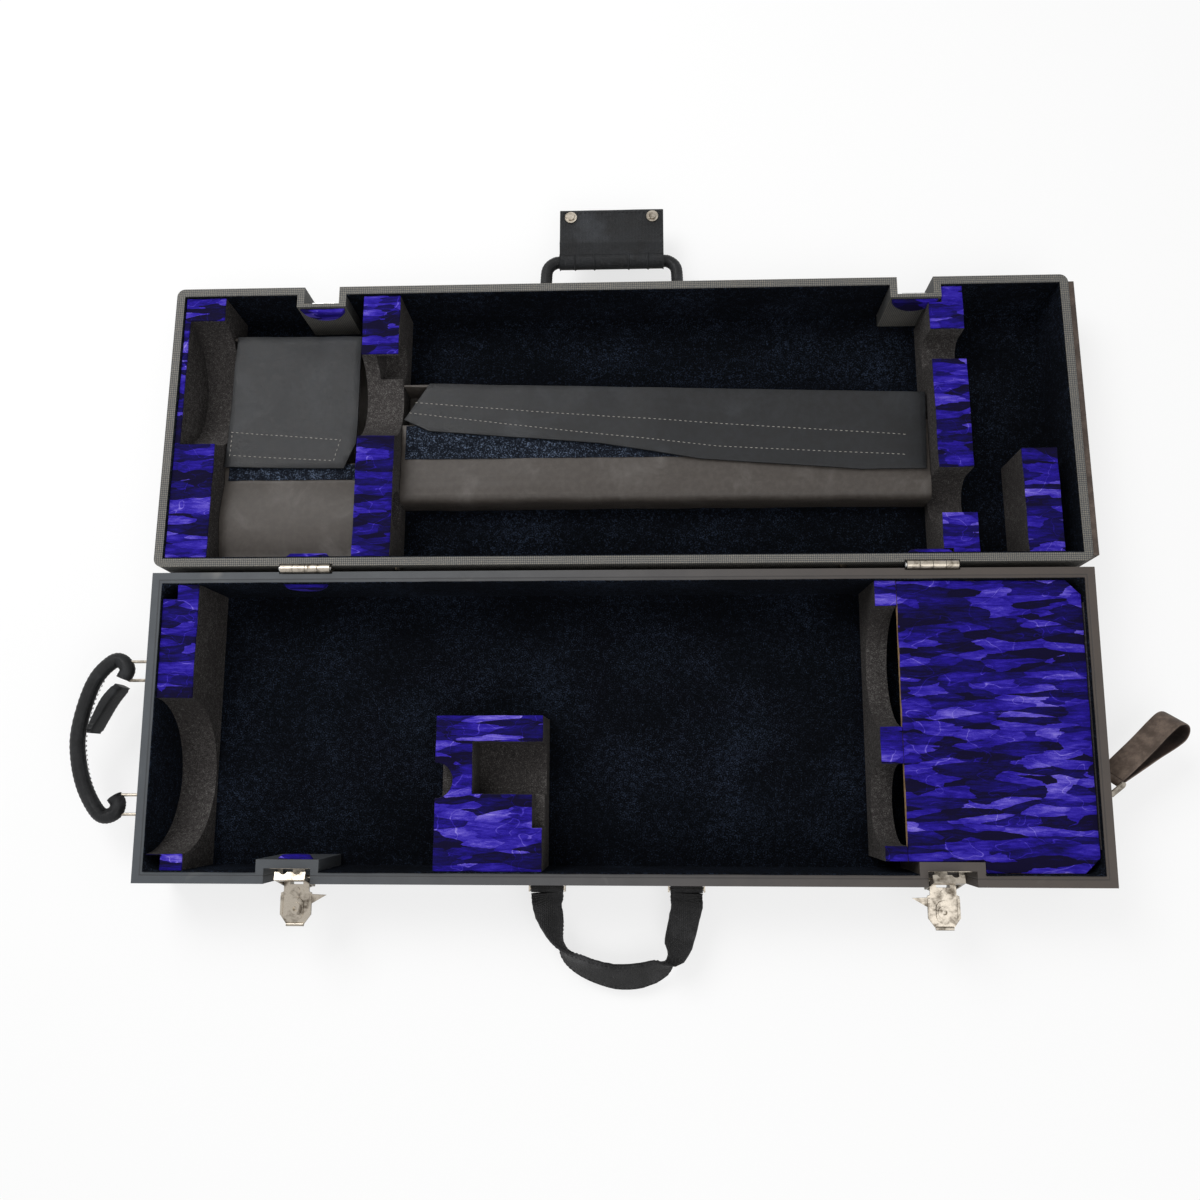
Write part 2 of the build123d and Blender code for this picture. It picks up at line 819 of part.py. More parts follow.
base_hinge_leaves = hinge_leaves(base_hinge_frame)
lid_hinge_leaves = hinge_leaves(lid_frame)
base_hinge_screws = hinge_screws(base_hinge_frame)
lid_hinge_screws = hinge_screws(lid_frame)
export(base_hinge_leaves, "base_hinge_leaves")
export(lid_hinge_leaves, "lid_hinge_leaves")
export(base_hinge_screws, "base_hinge_screws")
export(lid_hinge_screws, "lid_hinge_screws")

with BuildPart() as hinge_pins:
    for side in (-1, 1):
        centre = side * hinge_spread / 2
        start = (centre - hinge_length / 2 - pin_end, hinge_y, hinge_z)
        bar(Plane.XY, start, (1, 0, 0), pin_radius, hinge_length + 2 * pin_end, sides=12)
        bar(Plane.XY, start, (-1, 0, 0), pin_radius + 0.8, pin_end, sides=12)
export(hinge_pins, "hinge_pins")

# ================================================================ glides on the back walls
glide_radius = 4.0
glide_height = 1.9
glide_stagger = 7.0
glide_x = (-190.8, 182.4)


def glide(spot, turn):
    """A low domed metal glide."""
    with Locations(spot):
        Cone(
            glide_radius,
            glide_radius * 0.55,
            glide_height,
            rotation=turn,
            align=(Align.CENTER, Align.CENTER, Align.MIN),
        )


with BuildPart() as base_glides:
    for x in glide_x:
        glide((x, half_width, base_height - 12), (-90, 0, 0))
export(base_glides, "base_glides")

with BuildPart(lid_frame) as lid_glides:
    for x in glide_x:
        glide((x + glide_stagger, hinge_setback, -12), (90, 0, 0))
export(lid_glides, "lid_glides")

# ================================================================ draw latches
rod_out = 8.7  # from the recess's back wall to the lever's pivot
rod_drop = 14.0  # from the base's rim down to it
rod_radius = 1.25
rod_half = 10.5
knuckle_clear = 0.05
lever_knuckle = 2.6
lever_inner = 5.3  # the lever's two knuckles stand beside the bracket's tongue
lever_neck = 10.3
lever_half = 12.5
lever_sheet = 1.5
lever_rise = 3.9  # from the pivot up to the open lever's plate
lever_start = 4.4  # distances out from the pivot along the open lever
lever_shoulder = 11.0
lever_waist = 28.0
lever_end = 37.0
lever_tip_half = 7.0
boss = (12.4, 18.0, 23.3)  # width, length, distance out
boss_rise = 1.2
barrel_radius = 5.0
barrel_bore = 2.0
stud_out = 9.0
stud_radius = 2.6
stud_height = 0.7
lip_radius = 1.5  # the rolled lip, level with the plate's underside
hook_out = 5.0  # the hook's pivot on the lever, out and down from the lever's
hook_down = 2.5
hook_inner = 10.9
hook_outer = 12.3
hook_pin = 1.0
hook_length = 28.7
hook_open_lean = 15.0  # degrees inwards from upright
hook_closed_lean = 7.0
claw_thickness = 1.4
claw_reach = 4.5
claw_gap = 0.3  # between the shut claw and the strike plate's lip
arm_half = 1.8

rod_y = recess_back_y - rod_out
rod_z = base_height - rod_drop
lever_bottom = rod_z + lever_rise
lever_top = lever_bottom + lever_sheet
bracket_half = recess_width / 2 - 1.0
bracket_low = bracket_screw_z - 5.0
flange_width = 4.5
print(f"the hook turns {90 + hook_closed_lean - hook_open_lean:.1f} degrees in its lever")


def outward(distance):
    """The y of a point a distance out from the lever's pivot."""
    return rod_y - distance


def pivot_bore(x, y, z, radius, frame=Plane.XY):
    """Bore a latch piece right across for a pivot along X."""
    bar(frame, (x - recess_width, y, z), (1, 0, 0), radius, 2 * recess_width, sides=12,
        mode=Mode.SUBTRACT)


def latch_bracket(side):
    """The plate on the recess's back wall, its curled tongue and its side flange."""
    x = side * latch_x
    front = recess_back_y - sheet
    with BuildPart() as bracket:
        slab(
            (side * recess_x - bracket_half, front, bracket_low),
            (side * recess_x + bracket_half, recess_back_y, rod_z + 4),
        )
        edges = sorted((side * (recess_x + bracket_half - flange_width), side * (recess_x + bracket_half)))
        slab((edges[0], front_y + 0.6, bracket_low), (edges[1], front, bracket_low + sheet))
        slab(
            (x - lever_inner + 0.3, rod_y, rod_z - 1.4),
            (x + lever_inner - 0.3, front, rod_z + 1.4),
        )
        rod((x, rod_y, rod_z), lever_knuckle, 2 * (lever_inner - 0.3))
        pivot_bore(x, rod_y, rod_z, rod_radius)
        for spot in (-1, 1):
            screw_spot = (side * recess_x + spot * bracket_screw_row, front, bracket_screw_z)
            bar(Plane.XY, screw_spot, (0, 1, 0), screw_radius + screw_clearance, 2 * sheet,
                mode=Mode.SUBTRACT)
    return bracket


def latch_lever(side):
    """The lever, lying open: knuckles, a stamped plate, a thumb tab and a rolled lip."""
    x = side * latch_x
    inward = -side  # the thumb tab points at the middle of the case
    with BuildPart() as lever:
        with BuildSketch(Plane.XY.offset(lever_bottom)):
            Polygon(
                (x - lever_neck, outward(lever_start)),
                (x - lever_neck, outward(lever_shoulder - 1)),
                (x - lever_half, outward(lever_shoulder)),
                (x - lever_half, outward(lever_waist)),
                (x - lever_tip_half, outward(lever_end - 1.5)),
                (x + lever_tip_half, outward(lever_end - 1.5)),
                (x + lever_half, outward(lever_waist)),
                (x + lever_half, outward(lever_shoulder)),
                (x + lever_neck, outward(lever_shoulder - 1)),
                (x + lever_neck, outward(lever_start)),
                align=None,
            )
            Polygon(
                (x + inward * (lever_half - 1), outward(12.0)),
                (x + inward * (lever_half - 1), outward(20.0)),
                (x + inward * 24.5, outward(12.6)),
                align=None,
            )
        extrude(amount=lever_sheet)
        for edge in (-1, 1):
            low, high = sorted((x + edge * lever_half, x + edge * (lever_half - 2.0)))
            slab((low, outward(lever_waist), lever_top), (high, outward(13.0), lever_top + 0.8))
        with BuildSketch(Plane.XY.offset(lever_top)):
            with Locations((x, outward(boss[2]))):
                SlotOverall(boss[1], boss[0], rotation=90)
        extrude(amount=boss_rise)
        with Locations((x, outward(boss[2]), lever_top + boss_rise)):
            Cylinder(barrel_radius, 0.8, align=(Align.CENTER, Align.CENTER, Align.MIN))
            Cylinder(barrel_bore, 4, mode=Mode.SUBTRACT)
        with Locations((x, outward(stud_out), lever_top)):
            Cylinder(stud_radius, stud_height, align=(Align.CENTER, Align.CENTER, Align.MIN))
        rod((x, outward(lever_end - lip_radius), lever_bottom + lip_radius), lip_radius,
            2 * lever_tip_half)
        for edge in (-1, 1):
            low, high = sorted((x + edge * lever_inner, x + edge * lever_neck))
            middle = (low + high) / 2
            rod((middle, rod_y, rod_z), lever_knuckle, high - low)
            slab((low, outward(lever_start + 2.6), rod_z), (high, outward(0.6), lever_top))
            bar(
                Plane.XY,
                (low, outward(hook_out), rod_z - hook_down),
                (1, 0, 0),
                lever_knuckle - 0.5,
                high - low,
                sides=12,
            )
            slab(
                (low, outward(hook_out + 1.9), rod_z - hook_down),
                (high, outward(1.5), lever_bottom + 0.5),
            )
            stub = (x + edge * lever_neck, outward(hook_out), rod_z - hook_down)
            bar(Plane.XY, stub, (edge, 0, 0), hook_pin, hook_outer + 0.2 - lever_neck, sides=12)
        pivot_bore(x, rod_y, rod_z, rod_radius + knuckle_clear)
    return lever


def latch_hook(side):
    """The draw hook: two arms on the lever's stubs and a scalloped claw across them."""
    lean = radians(hook_open_lean)
    frame = Plane(
        origin=(side * latch_x, outward(hook_out), rod_z - hook_down),
        x_dir=(1, 0, 0),
        z_dir=(0, sin(lean), cos(lean)),
    )
    with BuildPart(frame) as hook:
        for edge in (-1, 1):
            low, high = sorted((edge * hook_inner, edge * hook_outer))
            bar(frame, (low, 0, 0), (1, 0, 0), arm_half, high - low, sides=16)
            slab((low, -arm_half, 0), (high, arm_half, hook_length))
        slab(
            (-hook_outer, -arm_half, hook_length - 7.0),
            (hook_outer, -arm_half + claw_thickness, hook_length),
        )
        slab(
            (-hook_outer, -arm_half, hook_length - claw_thickness),
            (hook_outer, claw_reach, hook_length),
        )
        for bite in (-5.5, 5.5):
            with Locations((bite, claw_reach + 1.4, hook_length)):
                Cylinder(3.4, 4 * claw_thickness, mode=Mode.SUBTRACT)
        pivot_bore(0, 0, 0, hook_pin + knuckle_clear, frame)
    return hook


for side, word in ((-1, "left"), (1, "right")):
    export(latch_bracket(side), f"latch_bracket_{word}")
    export(latch_lever(side), f"latch_lever_{word}")
    export(latch_hook(side), f"latch_hook_{word}")

with BuildPart() as latch_rods:
    for side in (-1, 1):
        start = (side * latch_x - rod_half, rod_y, rod_z)
        bar(Plane.XY, start, (1, 0, 0), rod_radius, 2 * rod_half, sides=12)
export(latch_rods, "latch_rods")

# The strike plate's lip stands just under the claw of the shut latch.
shut_lean = radians(hook_closed_lean)
claw_under = (
    rod_z - hook_out + (hook_length - claw_thickness) * cos(shut_lean) - claw_reach * sin(shut_lean)
)
strike_level = -(claw_under - claw_gap - hinge_z)
strike_reach = 3.8
strike_width = 20.0
strike_height = 16.0
with BuildPart(lid_frame) as strike_plates:
    for side in (-1, 1):
        x = side * notch_x
        slab(
            (x - strike_width / 2, notch_v, strike_level - strike_height),
            (x + strike_width / 2, notch_v + sheet, strike_level + sheet),
        )
        slab(
            (x - strike_width / 2, notch_v, strike_level),
            (x + strike_width / 2, notch_v + strike_reach, strike_level + sheet),
        )
export(strike_plates, "strike_plates")

# ================================================================ base front strap
strap_width = 27.0
strap_thickness = 3.0
strap_eye = 3.6
strap_pin = 1.5
strap_root_x = 57.0
strap_root_out = 5.2  # from the front wall to the strap's pin
strap_root_z = 37.5
strap_anchor_width = 38.0
strap_anchor_half = 11.0
strap_ear = (2.6, 3.0)  # an ear beyond the pin, and half its height
# Stations along the strap from the left leg to the right: the middle of its width
# (x, out from the wall, z) and the direction from its lower to its upper edge.
strap_stations = (
    ((-57.0, 8.5, 38.0), (-27.0, 0.0, 1.0)),
    ((-54.9, 27.0, 33.5), (-20.0, 2.0, 18.0)),
    ((-37.5, 63.0, 22.0), (1.4, 16.0, 21.6)),
    ((4.1, 78.5, 16.0), (4.5, 22.0, 15.0)),
    ((42.0, 65.0, 21.5), (13.8, 17.5, 15.2)),
    ((55.6, 26.0, 33.5), (23.7, 5.5, 11.7)),
    ((57.0, 8.5, 38.0), (27.0, 0.0, 1.0)),
)


def strap_section(index):
    """The plane across the strap at one of its stations."""
    (x, out, z), width = strap_stations[index]
    before = strap_stations[max(index - 1, 0)][0]
    after = strap_stations[min(index + 1, len(strap_stations) - 1)][0]
    along = Vector(after[0] - before[0], -(after[1] - before[1]), after[2] - before[2])
    if index in (0, len(strap_stations) - 1):
        along = Vector(0, -1 if index == 0 else 1, 0)
    across = Vector(*width)
    across = across - along * (across.dot(along) / along.dot(along))
    return Plane(origin=(x, front_y - out, z), x_dir=tuple(across), z_dir=tuple(along))


with BuildPart() as front_strap:
    for index in range(len(strap_stations)):
        with BuildSketch(strap_section(index)):
            Rectangle(strap_width, strap_thickness)
    loft(ruled=True)
    for side in (-1, 1):
        rod((side * strap_root_x, front_y - strap_root_out, strap_root_z), strap_eye, strap_width)
        bar(
            Plane.XY,
            (side * strap_root_x - strap_width, front_y - strap_root_out, strap_root_z),
            (1, 0, 0),
            strap_pin + knuckle_clear,
            2 * strap_width,
            sides=12,
            mode=Mode.SUBTRACT,
        )
export(front_strap, "front_strap")

with BuildPart() as front_strap_anchors:
    for side in (-1, 1):
        x = side * strap_root_x
        half = strap_anchor_width / 2
        slab(
            (x - half, front_y - sheet, strap_root_z - strap_anchor_half),
            (x + half, front_y, strap_root_z + strap_anchor_half),
        )
        for ear in (-1, 1):
            low, high = sorted(
                (x + ear * (strap_width / 2 + 0.4), x + ear * (strap_width / 2 + 0.4 + sheet))
            )
            slab(
                (low, front_y - strap_root_out - strap_ear[0], strap_root_z - strap_ear[1]),
                (high, front_y, strap_root_z + strap_ear[1]),
            )
        reach = strap_width / 2 + 0.4 + sheet
        start = (x - reach, front_y - strap_root_out, strap_root_z)
        bar(Plane.XY, start, (1, 0, 0), strap_pin, 2 * reach, sides=12)
export(front_strap_anchors, "front_strap_anchors")

# ================================================================ left end handle
tube_sides = 12  # a stitched leather tube, drawn with this many flats
bail_sides = 8
end_handle_y = -9.4
end_handle_z = 46.0
end_axis_out = 5.0
end_reach = 66.5
end_half = 66.0
bail_radius = 1.3
bail_half = 8.0
bail_y = 56.0
bail_out = 27.0
end_plate = (15.0, 12.0)  # half the anchor plate's width and height
end_loop = (4.5, 3.2)  # half the width of the loop round the bail, and its radius
grip_radius = 6.5
wall_x = -half_length


def handle_point(out, along):
    """A point of the end handle: out from the wall, along the wall from its middle."""
    return (wall_x - out, end_handle_y + along)


end_plane = Plane.XY.offset(end_handle_z)
with BuildPart() as end_handle_grip:
    with BuildLine(end_plane) as end_path:
        bow = ThreePointArc(
            handle_point(43.0, end_half),
            handle_point(end_reach, 0.0),
            handle_point(43.0, -end_half),
        )
        JernArc(bow @ 0, -(bow % 0), 12.0, -150)
        JernArc(bow @ 1, bow % 1, 12.0, 150)
    start = end_path.line @ 0
    with BuildSketch(Plane(origin=start, z_dir=end_path.line % 0)):
        RegularPolygon(grip_radius, tube_sides)
    sweep()
export(end_handle_grip, "end_handle_grip")

flap_height = 24.0
flap_gap = 0.3
with BuildPart() as end_handle_flap:
    with BuildSketch(Plane.XY.offset(end_handle_z - flap_height / 2)):
        with BuildLine():
            seam = end_reach - grip_radius - flap_gap
            outer = ThreePointArc(
                handle_point(34.0, 46.0),
                handle_point(54.0, 18.0),
                handle_point(seam, 4.0),
            )
            Line(outer @ 1, handle_point(end_reach - 16.0, 3.0))
            inner = ThreePointArc(
                handle_point(end_reach - 16.0, 3.0),
                handle_point(44.0, 17.0),
                handle_point(26.0, 42.0),
            )
            Line(inner @ 1, outer @ 0)
        make_face()
    extrude(amount=flap_height)
export(end_handle_flap, "end_handle_flap")

with BuildPart() as end_handle_bails:
    for end in (-1, 1):
        y = end_handle_y + end * bail_y
        with BuildLine(end_plane) as ring:
            FilletPolyline(
                (wall_x - end_axis_out, y - bail_half),
                (wall_x - bail_out, y - bail_half),
                (wall_x - bail_out, y + bail_half),
                (wall_x - end_axis_out, y + bail_half),
                radius=2.5,
                close=True,
            )
        with BuildSketch(Plane(origin=ring.line @ 0, z_dir=ring.line % 0)):
            RegularPolygon(bail_radius, bail_sides)
        sweep()
export(end_handle_bails, "end_handle_bails")

with BuildPart() as end_handle_anchors:
    for end in (-1, 1):
        y = end_handle_y + end * bail_y
        slab(
            (wall_x - sheet, y - end_plate[0], end_handle_z - end_plate[1]),
            (wall_x, y + end_plate[0], end_handle_z + end_plate[1]),
        )
        with Locations((wall_x - end_axis_out, y, end_handle_z)):
            Cylinder(end_loop[1], 2 * end_loop[0], rotation=(90, 0, 0))
        slab(
            (wall_x - end_axis_out, y - end_loop[0], end_handle_z - end_loop[1]),
            (wall_x - sheet, y + end_loop[0], end_handle_z + end_loop[1]),
        )
        start = (wall_x - end_axis_out, y - end_plate[0], end_handle_z)
        bar(Plane.XY, start, (0, 1, 0), bail_radius + 0.3, 2 * end_plate[0], sides=12,
            mode=Mode.SUBTRACT)
export(end_handle_anchors, "end_handle_anchors")

# ================================================================ right end strap loop
loop_width = 24.0
loop_thickness = 2.2
loop_root_y = -42.0
loop_root_out = 10.0
loop_heading = 38.0  # degrees from +X towards +Y
loop_tilt = 38.0  # the top edge leans out, away from the heading
loop_start = 3.0
loop_split = 18.0  # the strands part here
loop_root_half = 1.6
loop_waist = (38.0, 6.5)  # halfway out, and half the strap's spread there
loop_bend = 64.0  # centre of the round bend at the tip
loop_swell = 10.5
loop_eye = 3.4
loop_pin = 1.5
loop_plate = (22.0, 17.0)  # half the anchor plate's width and height
loop_ear = (3.0, 6.0)  # an ear's radius and its reach back towards the wall
loop_z = 46.0
loop_clear = 1.0
loop_ear_half = 0.6
heading = Vector(cos(radians(loop_heading)), sin(radians(loop_heading)), 0)
sideways = Vector(sin(radians(loop_heading)), -cos(radians(loop_heading)), 0)
loop_up = Vector(0, 0, 1) * cos(radians(loop_tilt)) + sideways * sin(radians(loop_tilt))
loop_root = Vector(half_length + loop_root_out, loop_root_y, loop_z)
loop_plane = Plane(origin=tuple(loop_root), x_dir=tuple(heading), z_dir=tuple(loop_up))


def strands(start, root, waist, swell, mode=Mode.ADD):
    """The two strands of the doubled strap and the round bend at its tip."""
    with BuildLine() as outline:
        Polyline((loop_bend, swell), (loop_waist[0], waist), (start, root), (start, -root))
        Polyline((start, -root), (loop_waist[0], -waist), (loop_bend, -swell))
        ThreePointArc((loop_bend, -swell), (loop_bend + swell, 0), (loop_bend, swell))
    make_face(outline.edges(), mode=mode)


with BuildPart() as right_strap:
    with BuildSketch(loop_plane.offset(-loop_width / 2)):
        strands(loop_start, loop_root_half, loop_waist[1], loop_swell)
        strands(
            loop_split,
            loop_root_half - 0.2,
            loop_waist[1] - loop_thickness,
            loop_swell - loop_thickness,
            mode=Mode.SUBTRACT,
        )
    extrude(amount=loop_width)
    with Locations(Location(loop_plane)):
        Cylinder(loop_eye, loop_width)
    low = (0, 0, -loop_width)
    bar(loop_plane, low, (0, 0, 1), loop_pin + knuckle_clear, 2 * loop_width, sides=12,
        mode=Mode.SUBTRACT)
export(right_strap, "right_strap")

with BuildPart() as right_strap_anchor:
    slab(
        (half_length, loop_root_y - loop_plate[0], loop_z - loop_plate[1]),
        (half_length + sheet, loop_root_y + loop_plate[0], loop_z + loop_plate[1]),
    )
    pin_half = loop_width / 2 + 2 * loop_clear
    bar(loop_plane, (0, 0, -pin_half), (0, 0, 1), loop_pin, 2 * pin_half, sides=12)
    for end in (-1, 1):
        centre = loop_root + loop_up * (end * (loop_width / 2 + loop_clear + 0.2))
        with BuildSketch(Plane(origin=tuple(centre), x_dir=tuple(heading), z_dir=tuple(loop_up))):
            Circle(loop_ear[0])
            with Locations((-loop_ear[1], 0)):
                Rectangle(2 * loop_ear[1], 2 * loop_ear[0])
        extrude(amount=loop_ear_half, both=True)
    slab(
        (half_length - 2 * loop_root_out, loop_root_y - 3 * loop_plate[0], 0),
        (half_length, loop_root_y + 3 * loop_plate[0], base_height + loop_z),
        mode=Mode.SUBTRACT,
    )
export(right_strap_anchor, "right_strap_anchor")

# ================================================================ lid end board
end_board_thickness = 5.6
end_board_height = 50.0
with BuildPart(lid_frame) as lid_end_board:
    slab(
        (half_length, hinge_setback + 5, -1.5 - end_board_height),
        (half_length + end_board_thickness, far_edge - 6, -1.5),
    )
    fillet(lid_end_board.edges().filter_by(Axis.Y, tolerance=5), 1.0)
export(lid_end_board, "lid_end_board")

# ================================================================ lid handle
handle_x = -4.0
handle_half = 59.0
handle_axis_v = far_edge + 7.0
handle_drop = -25.0
handle_out = 33.5
handle_radius = 5.4
handle_bend = 11.5
wrap_half = 47.0
wrap_radius = 7.6
flap_length = 41.0
flap_sheet = 2.2
handle_pin = 2.0
handle_eye = 4.6
handle_plate = 11.0  # half the anchor plate's width and height
handle_ear = (3.4, 3.6)  # an ear beyond the pin, and half its height
handle_v = far_edge + handle_out

with BuildPart(lid_frame) as lid_handle_core:
    with BuildLine(lid_level(handle_drop)) as arch:
        FilletPolyline(
            (handle_x - handle_half, handle_axis_v),
            (handle_x - handle_half, handle_v),
            (handle_x + handle_half, handle_v),
            (handle_x + handle_half, handle_axis_v),
            radius=handle_bend,
        )
    with BuildSketch(Plane(origin=arch.line @ 0, z_dir=arch.line % 0)):
        RegularPolygon(handle_radius, tube_sides)
    sweep()
    for end in (-1, 1):
        spot = (handle_x + end * handle_half, handle_axis_v, handle_drop)
        rod(spot, handle_eye, 2 * handle_radius)
    start = (handle_x - 2 * handle_half, handle_axis_v, handle_drop)
    bar(lid_frame, start, (1, 0, 0), handle_pin + knuckle_clear, 4 * handle_half, sides=12,
        mode=Mode.SUBTRACT)
export(lid_handle_core, "lid_handle_core")

with BuildPart(lid_frame) as lid_handle_sleeve:
    rod((handle_x, handle_v, handle_drop), wrap_radius, 2 * wrap_half)
    rod((handle_x, handle_v, handle_drop), handle_radius, 2 * wrap_half + 2, mode=Mode.SUBTRACT)
export(lid_handle_sleeve, "lid_handle_sleeve")

fold_v = handle_v + wrap_radius + 0.9
fold_drop = handle_drop + 3.0
with BuildPart(lid_frame) as lid_handle_flap:
    slab(
        (handle_x - wrap_half, fold_v, fold_drop - flap_sheet / 2),
        (handle_x + wrap_half, fold_v + flap_length, fold_drop + flap_sheet / 2),
    )
    rod((handle_x, fold_v, fold_drop), flap_sheet / 2, 2 * wrap_half)
export(lid_handle_flap, "lid_handle_flap")

snap_radius = 5.4
with BuildPart(lid_frame) as handle_snaps:
    for end in (-1, 1):
        spot = (
            handle_x + end * 37.0,
            fold_v + flap_length - 7.5,
            fold_drop + flap_sheet / 2,
        )
        with Locations(spot):
            Cylinder(snap_radius, 1.2, align=(Align.CENTER, Align.CENTER, Align.MIN))
            Cylinder(3.2, 2.6, align=(Align.CENTER, Align.CENTER, Align.MIN))
export(handle_snaps, "handle_snaps")

with BuildPart(lid_frame) as lid_handle_anchors:
    for end in (-1, 1):
        x = handle_x + end * handle_half
        slab(
            (x - handle_plate, far_edge, handle_drop - handle_plate),
            (x + handle_plate, far_edge + sheet, handle_drop + handle_plate),
        )
        for ear in (-1, 1):
            low, high = sorted(
                (x + ear * (handle_radius + 0.3), x + ear * (handle_radius + 0.3 + 1.6))
            )
            slab(
                (low, far_edge, handle_drop - handle_ear[1]),
                (high, handle_axis_v + handle_ear[0], handle_drop + handle_ear[1]),
            )
        reach = handle_radius + 0.3 + 1.6
        start = (x - reach, handle_axis_v, handle_drop)
        bar(lid_frame, start, (1, 0, 0), handle_pin, 2 * reach, sides=12)
export(lid_handle_anchors, "lid_handle_anchors")

# ================================================================ screws of the fittings
with BuildPart() as base_fitting_screws:
    for side in (-1, 1):
        for spot in (-1, 1):
            wood_screw(
                Plane.XY,
                (side * recess_x + spot * bracket_screw_row, recess_back_y - sheet, bracket_screw_z),
            )
export(base_fitting_screws, "base_fitting_screws")
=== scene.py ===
# %% [markdown]
# # An old instrument case, standing open
#
# The case is a long shallow box in two halves. The base is deep, the lid is shallower and
# lies back on its hinges. Both are plywood trays under leatherette, lined with dark plush,
# with padded blocks under crushed velvet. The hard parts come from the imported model. This
# script gives each of them a finish, and makes everything soft again as cloth and leather.

# %% Load the frame
import json
from math import copysign, cos, pi, radians, sin

import bmesh
import bpy
from mathutils import Matrix, Vector, noise


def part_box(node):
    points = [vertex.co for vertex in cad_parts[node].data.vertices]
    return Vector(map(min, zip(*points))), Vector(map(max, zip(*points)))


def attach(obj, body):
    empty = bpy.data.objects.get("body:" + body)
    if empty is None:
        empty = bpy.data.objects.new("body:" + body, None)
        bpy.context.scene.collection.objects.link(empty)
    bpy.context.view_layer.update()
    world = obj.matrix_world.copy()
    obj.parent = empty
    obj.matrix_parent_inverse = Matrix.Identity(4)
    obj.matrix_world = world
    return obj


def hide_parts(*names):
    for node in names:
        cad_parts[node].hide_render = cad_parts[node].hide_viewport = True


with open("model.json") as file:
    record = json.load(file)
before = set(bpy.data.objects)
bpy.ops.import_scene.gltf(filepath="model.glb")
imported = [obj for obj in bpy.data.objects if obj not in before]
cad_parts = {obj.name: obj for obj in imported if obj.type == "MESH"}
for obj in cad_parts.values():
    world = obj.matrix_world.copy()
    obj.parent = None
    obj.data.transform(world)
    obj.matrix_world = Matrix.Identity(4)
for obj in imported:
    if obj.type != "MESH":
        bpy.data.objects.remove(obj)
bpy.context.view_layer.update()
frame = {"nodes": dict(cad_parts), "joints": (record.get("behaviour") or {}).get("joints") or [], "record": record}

nodes = frame["nodes"]
low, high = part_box("base_walls")
case_length, case_width = (high - low)[:2]
half_length, half_width = case_length / 2, case_width / 2
hinge = next(joint for joint in frame["joints"] if joint["name"] == "lid_hinge")
hinge_line = Vector(hinge["pos_m"])
lid_lean = radians(2.266)
lid_out = Vector((0, cos(lid_lean), -sin(lid_lean)))  # away from the hinge, in the lid
lid_up = Vector((0, sin(lid_lean), cos(lid_lean)))  # out of the open lid
along = Vector((1, 0, 0))
mm = 0.001


def on_lid(x, out, rise):
    """A point of the lid in millimetres: along the case, from the hinge, over the rim."""
    return along * x * mm + hinge_line + lid_out * out * mm + lid_up * rise * mm


print(f"the case is {case_length:.3f} m long and {case_width:.3f} m wide")

# %% [markdown]
# ## The camera
#
# The photographer stood over the case and looked almost straight down, a little from the
# front. The place, the turns and the lens were solved from the case's own straight edges,
# so the same corners fall on the same places of the picture.

# %% Camera
camera_place = Vector((0.0232, -0.0450, 0.9458))
camera_turns = ((0.318, "Z"), (-2.316, "Y"), (-9.524, "X"))  # degrees, world to camera
lens, sensor = 32.291, 36.0

turn = Matrix.Identity(3)
for degrees_turned, axis in camera_turns:
    turn = turn @ Matrix.Rotation(radians(degrees_turned), 3, axis)
camera_data = bpy.data.cameras.new("camera")
camera_data.lens, camera_data.sensor_width = lens, sensor
camera_data.clip_start, camera_data.clip_end = 0.02, 50
camera = bpy.data.objects.new("camera", camera_data)
camera.matrix_world = Matrix.Translation(camera_place) @ turn.transposed().to_4x4()
bpy.context.scene.collection.objects.link(camera)
bpy.context.scene.camera = camera
bpy.context.scene.view_settings.view_transform = "Standard"

# %% [markdown]
# ## Shader sums
#
# A procedural finish is mostly arithmetic on patterns. Written as nodes it is hard to
# read, so one small class stands for a number in the shader, and plain sums on it add
# the Math nodes. A second class holds a material and adds any other node.


# %% Shader sums
class Value:
    """A number that varies over a surface. Sums on it add Math nodes."""

    def __init__(self, finish, socket):
        self.finish, self.socket = finish, socket

    def math(self, operation, *others, clamp=False):
        return self.finish.node(
            "ShaderNodeMath",
            {"operation": operation, "use_clamp": clamp},
            dict(enumerate((self, *others))),
        )

    def __add__(self, other):
        return self.math("ADD", other)

    def __sub__(self, other):
        return self.math("SUBTRACT", other)

    def __mul__(self, other):
        return self.math("MULTIPLY", other)

    def __truediv__(self, other):
        return self.math("DIVIDE", other)

    def __rsub__(self, other):
        return self * -1 + other

    __radd__, __rmul__ = __add__, __mul__

    def __abs__(self):
        return self.math("ABSOLUTE")

    def wave(self):
        return self.math("SINE")

    def power(self, exponent):
        return self.math("POWER", exponent)

    def larger(self, other):
        return self.math("MAXIMUM", other)

    def step(self, start, end):
        """0 below start, 1 above end, and a smooth rise between them."""
        return self.finish.node(
            "ShaderNodeMapRange",
            {"interpolation_type": "SMOOTHSTEP"},
            {"Value": self, "From Min": start, "From Max": end},
        )


def paint(red, green, blue):
    """A colour as seen on the screen, 0 to 255, in the linear light that shaders use."""
    linear = [
        level / 12.92 if level <= 0.04045 else ((level + 0.055) / 1.055) ** 2.4
        for level in (red / 255, green / 255, blue / 255)
    ]
    return (*linear, 1.0)


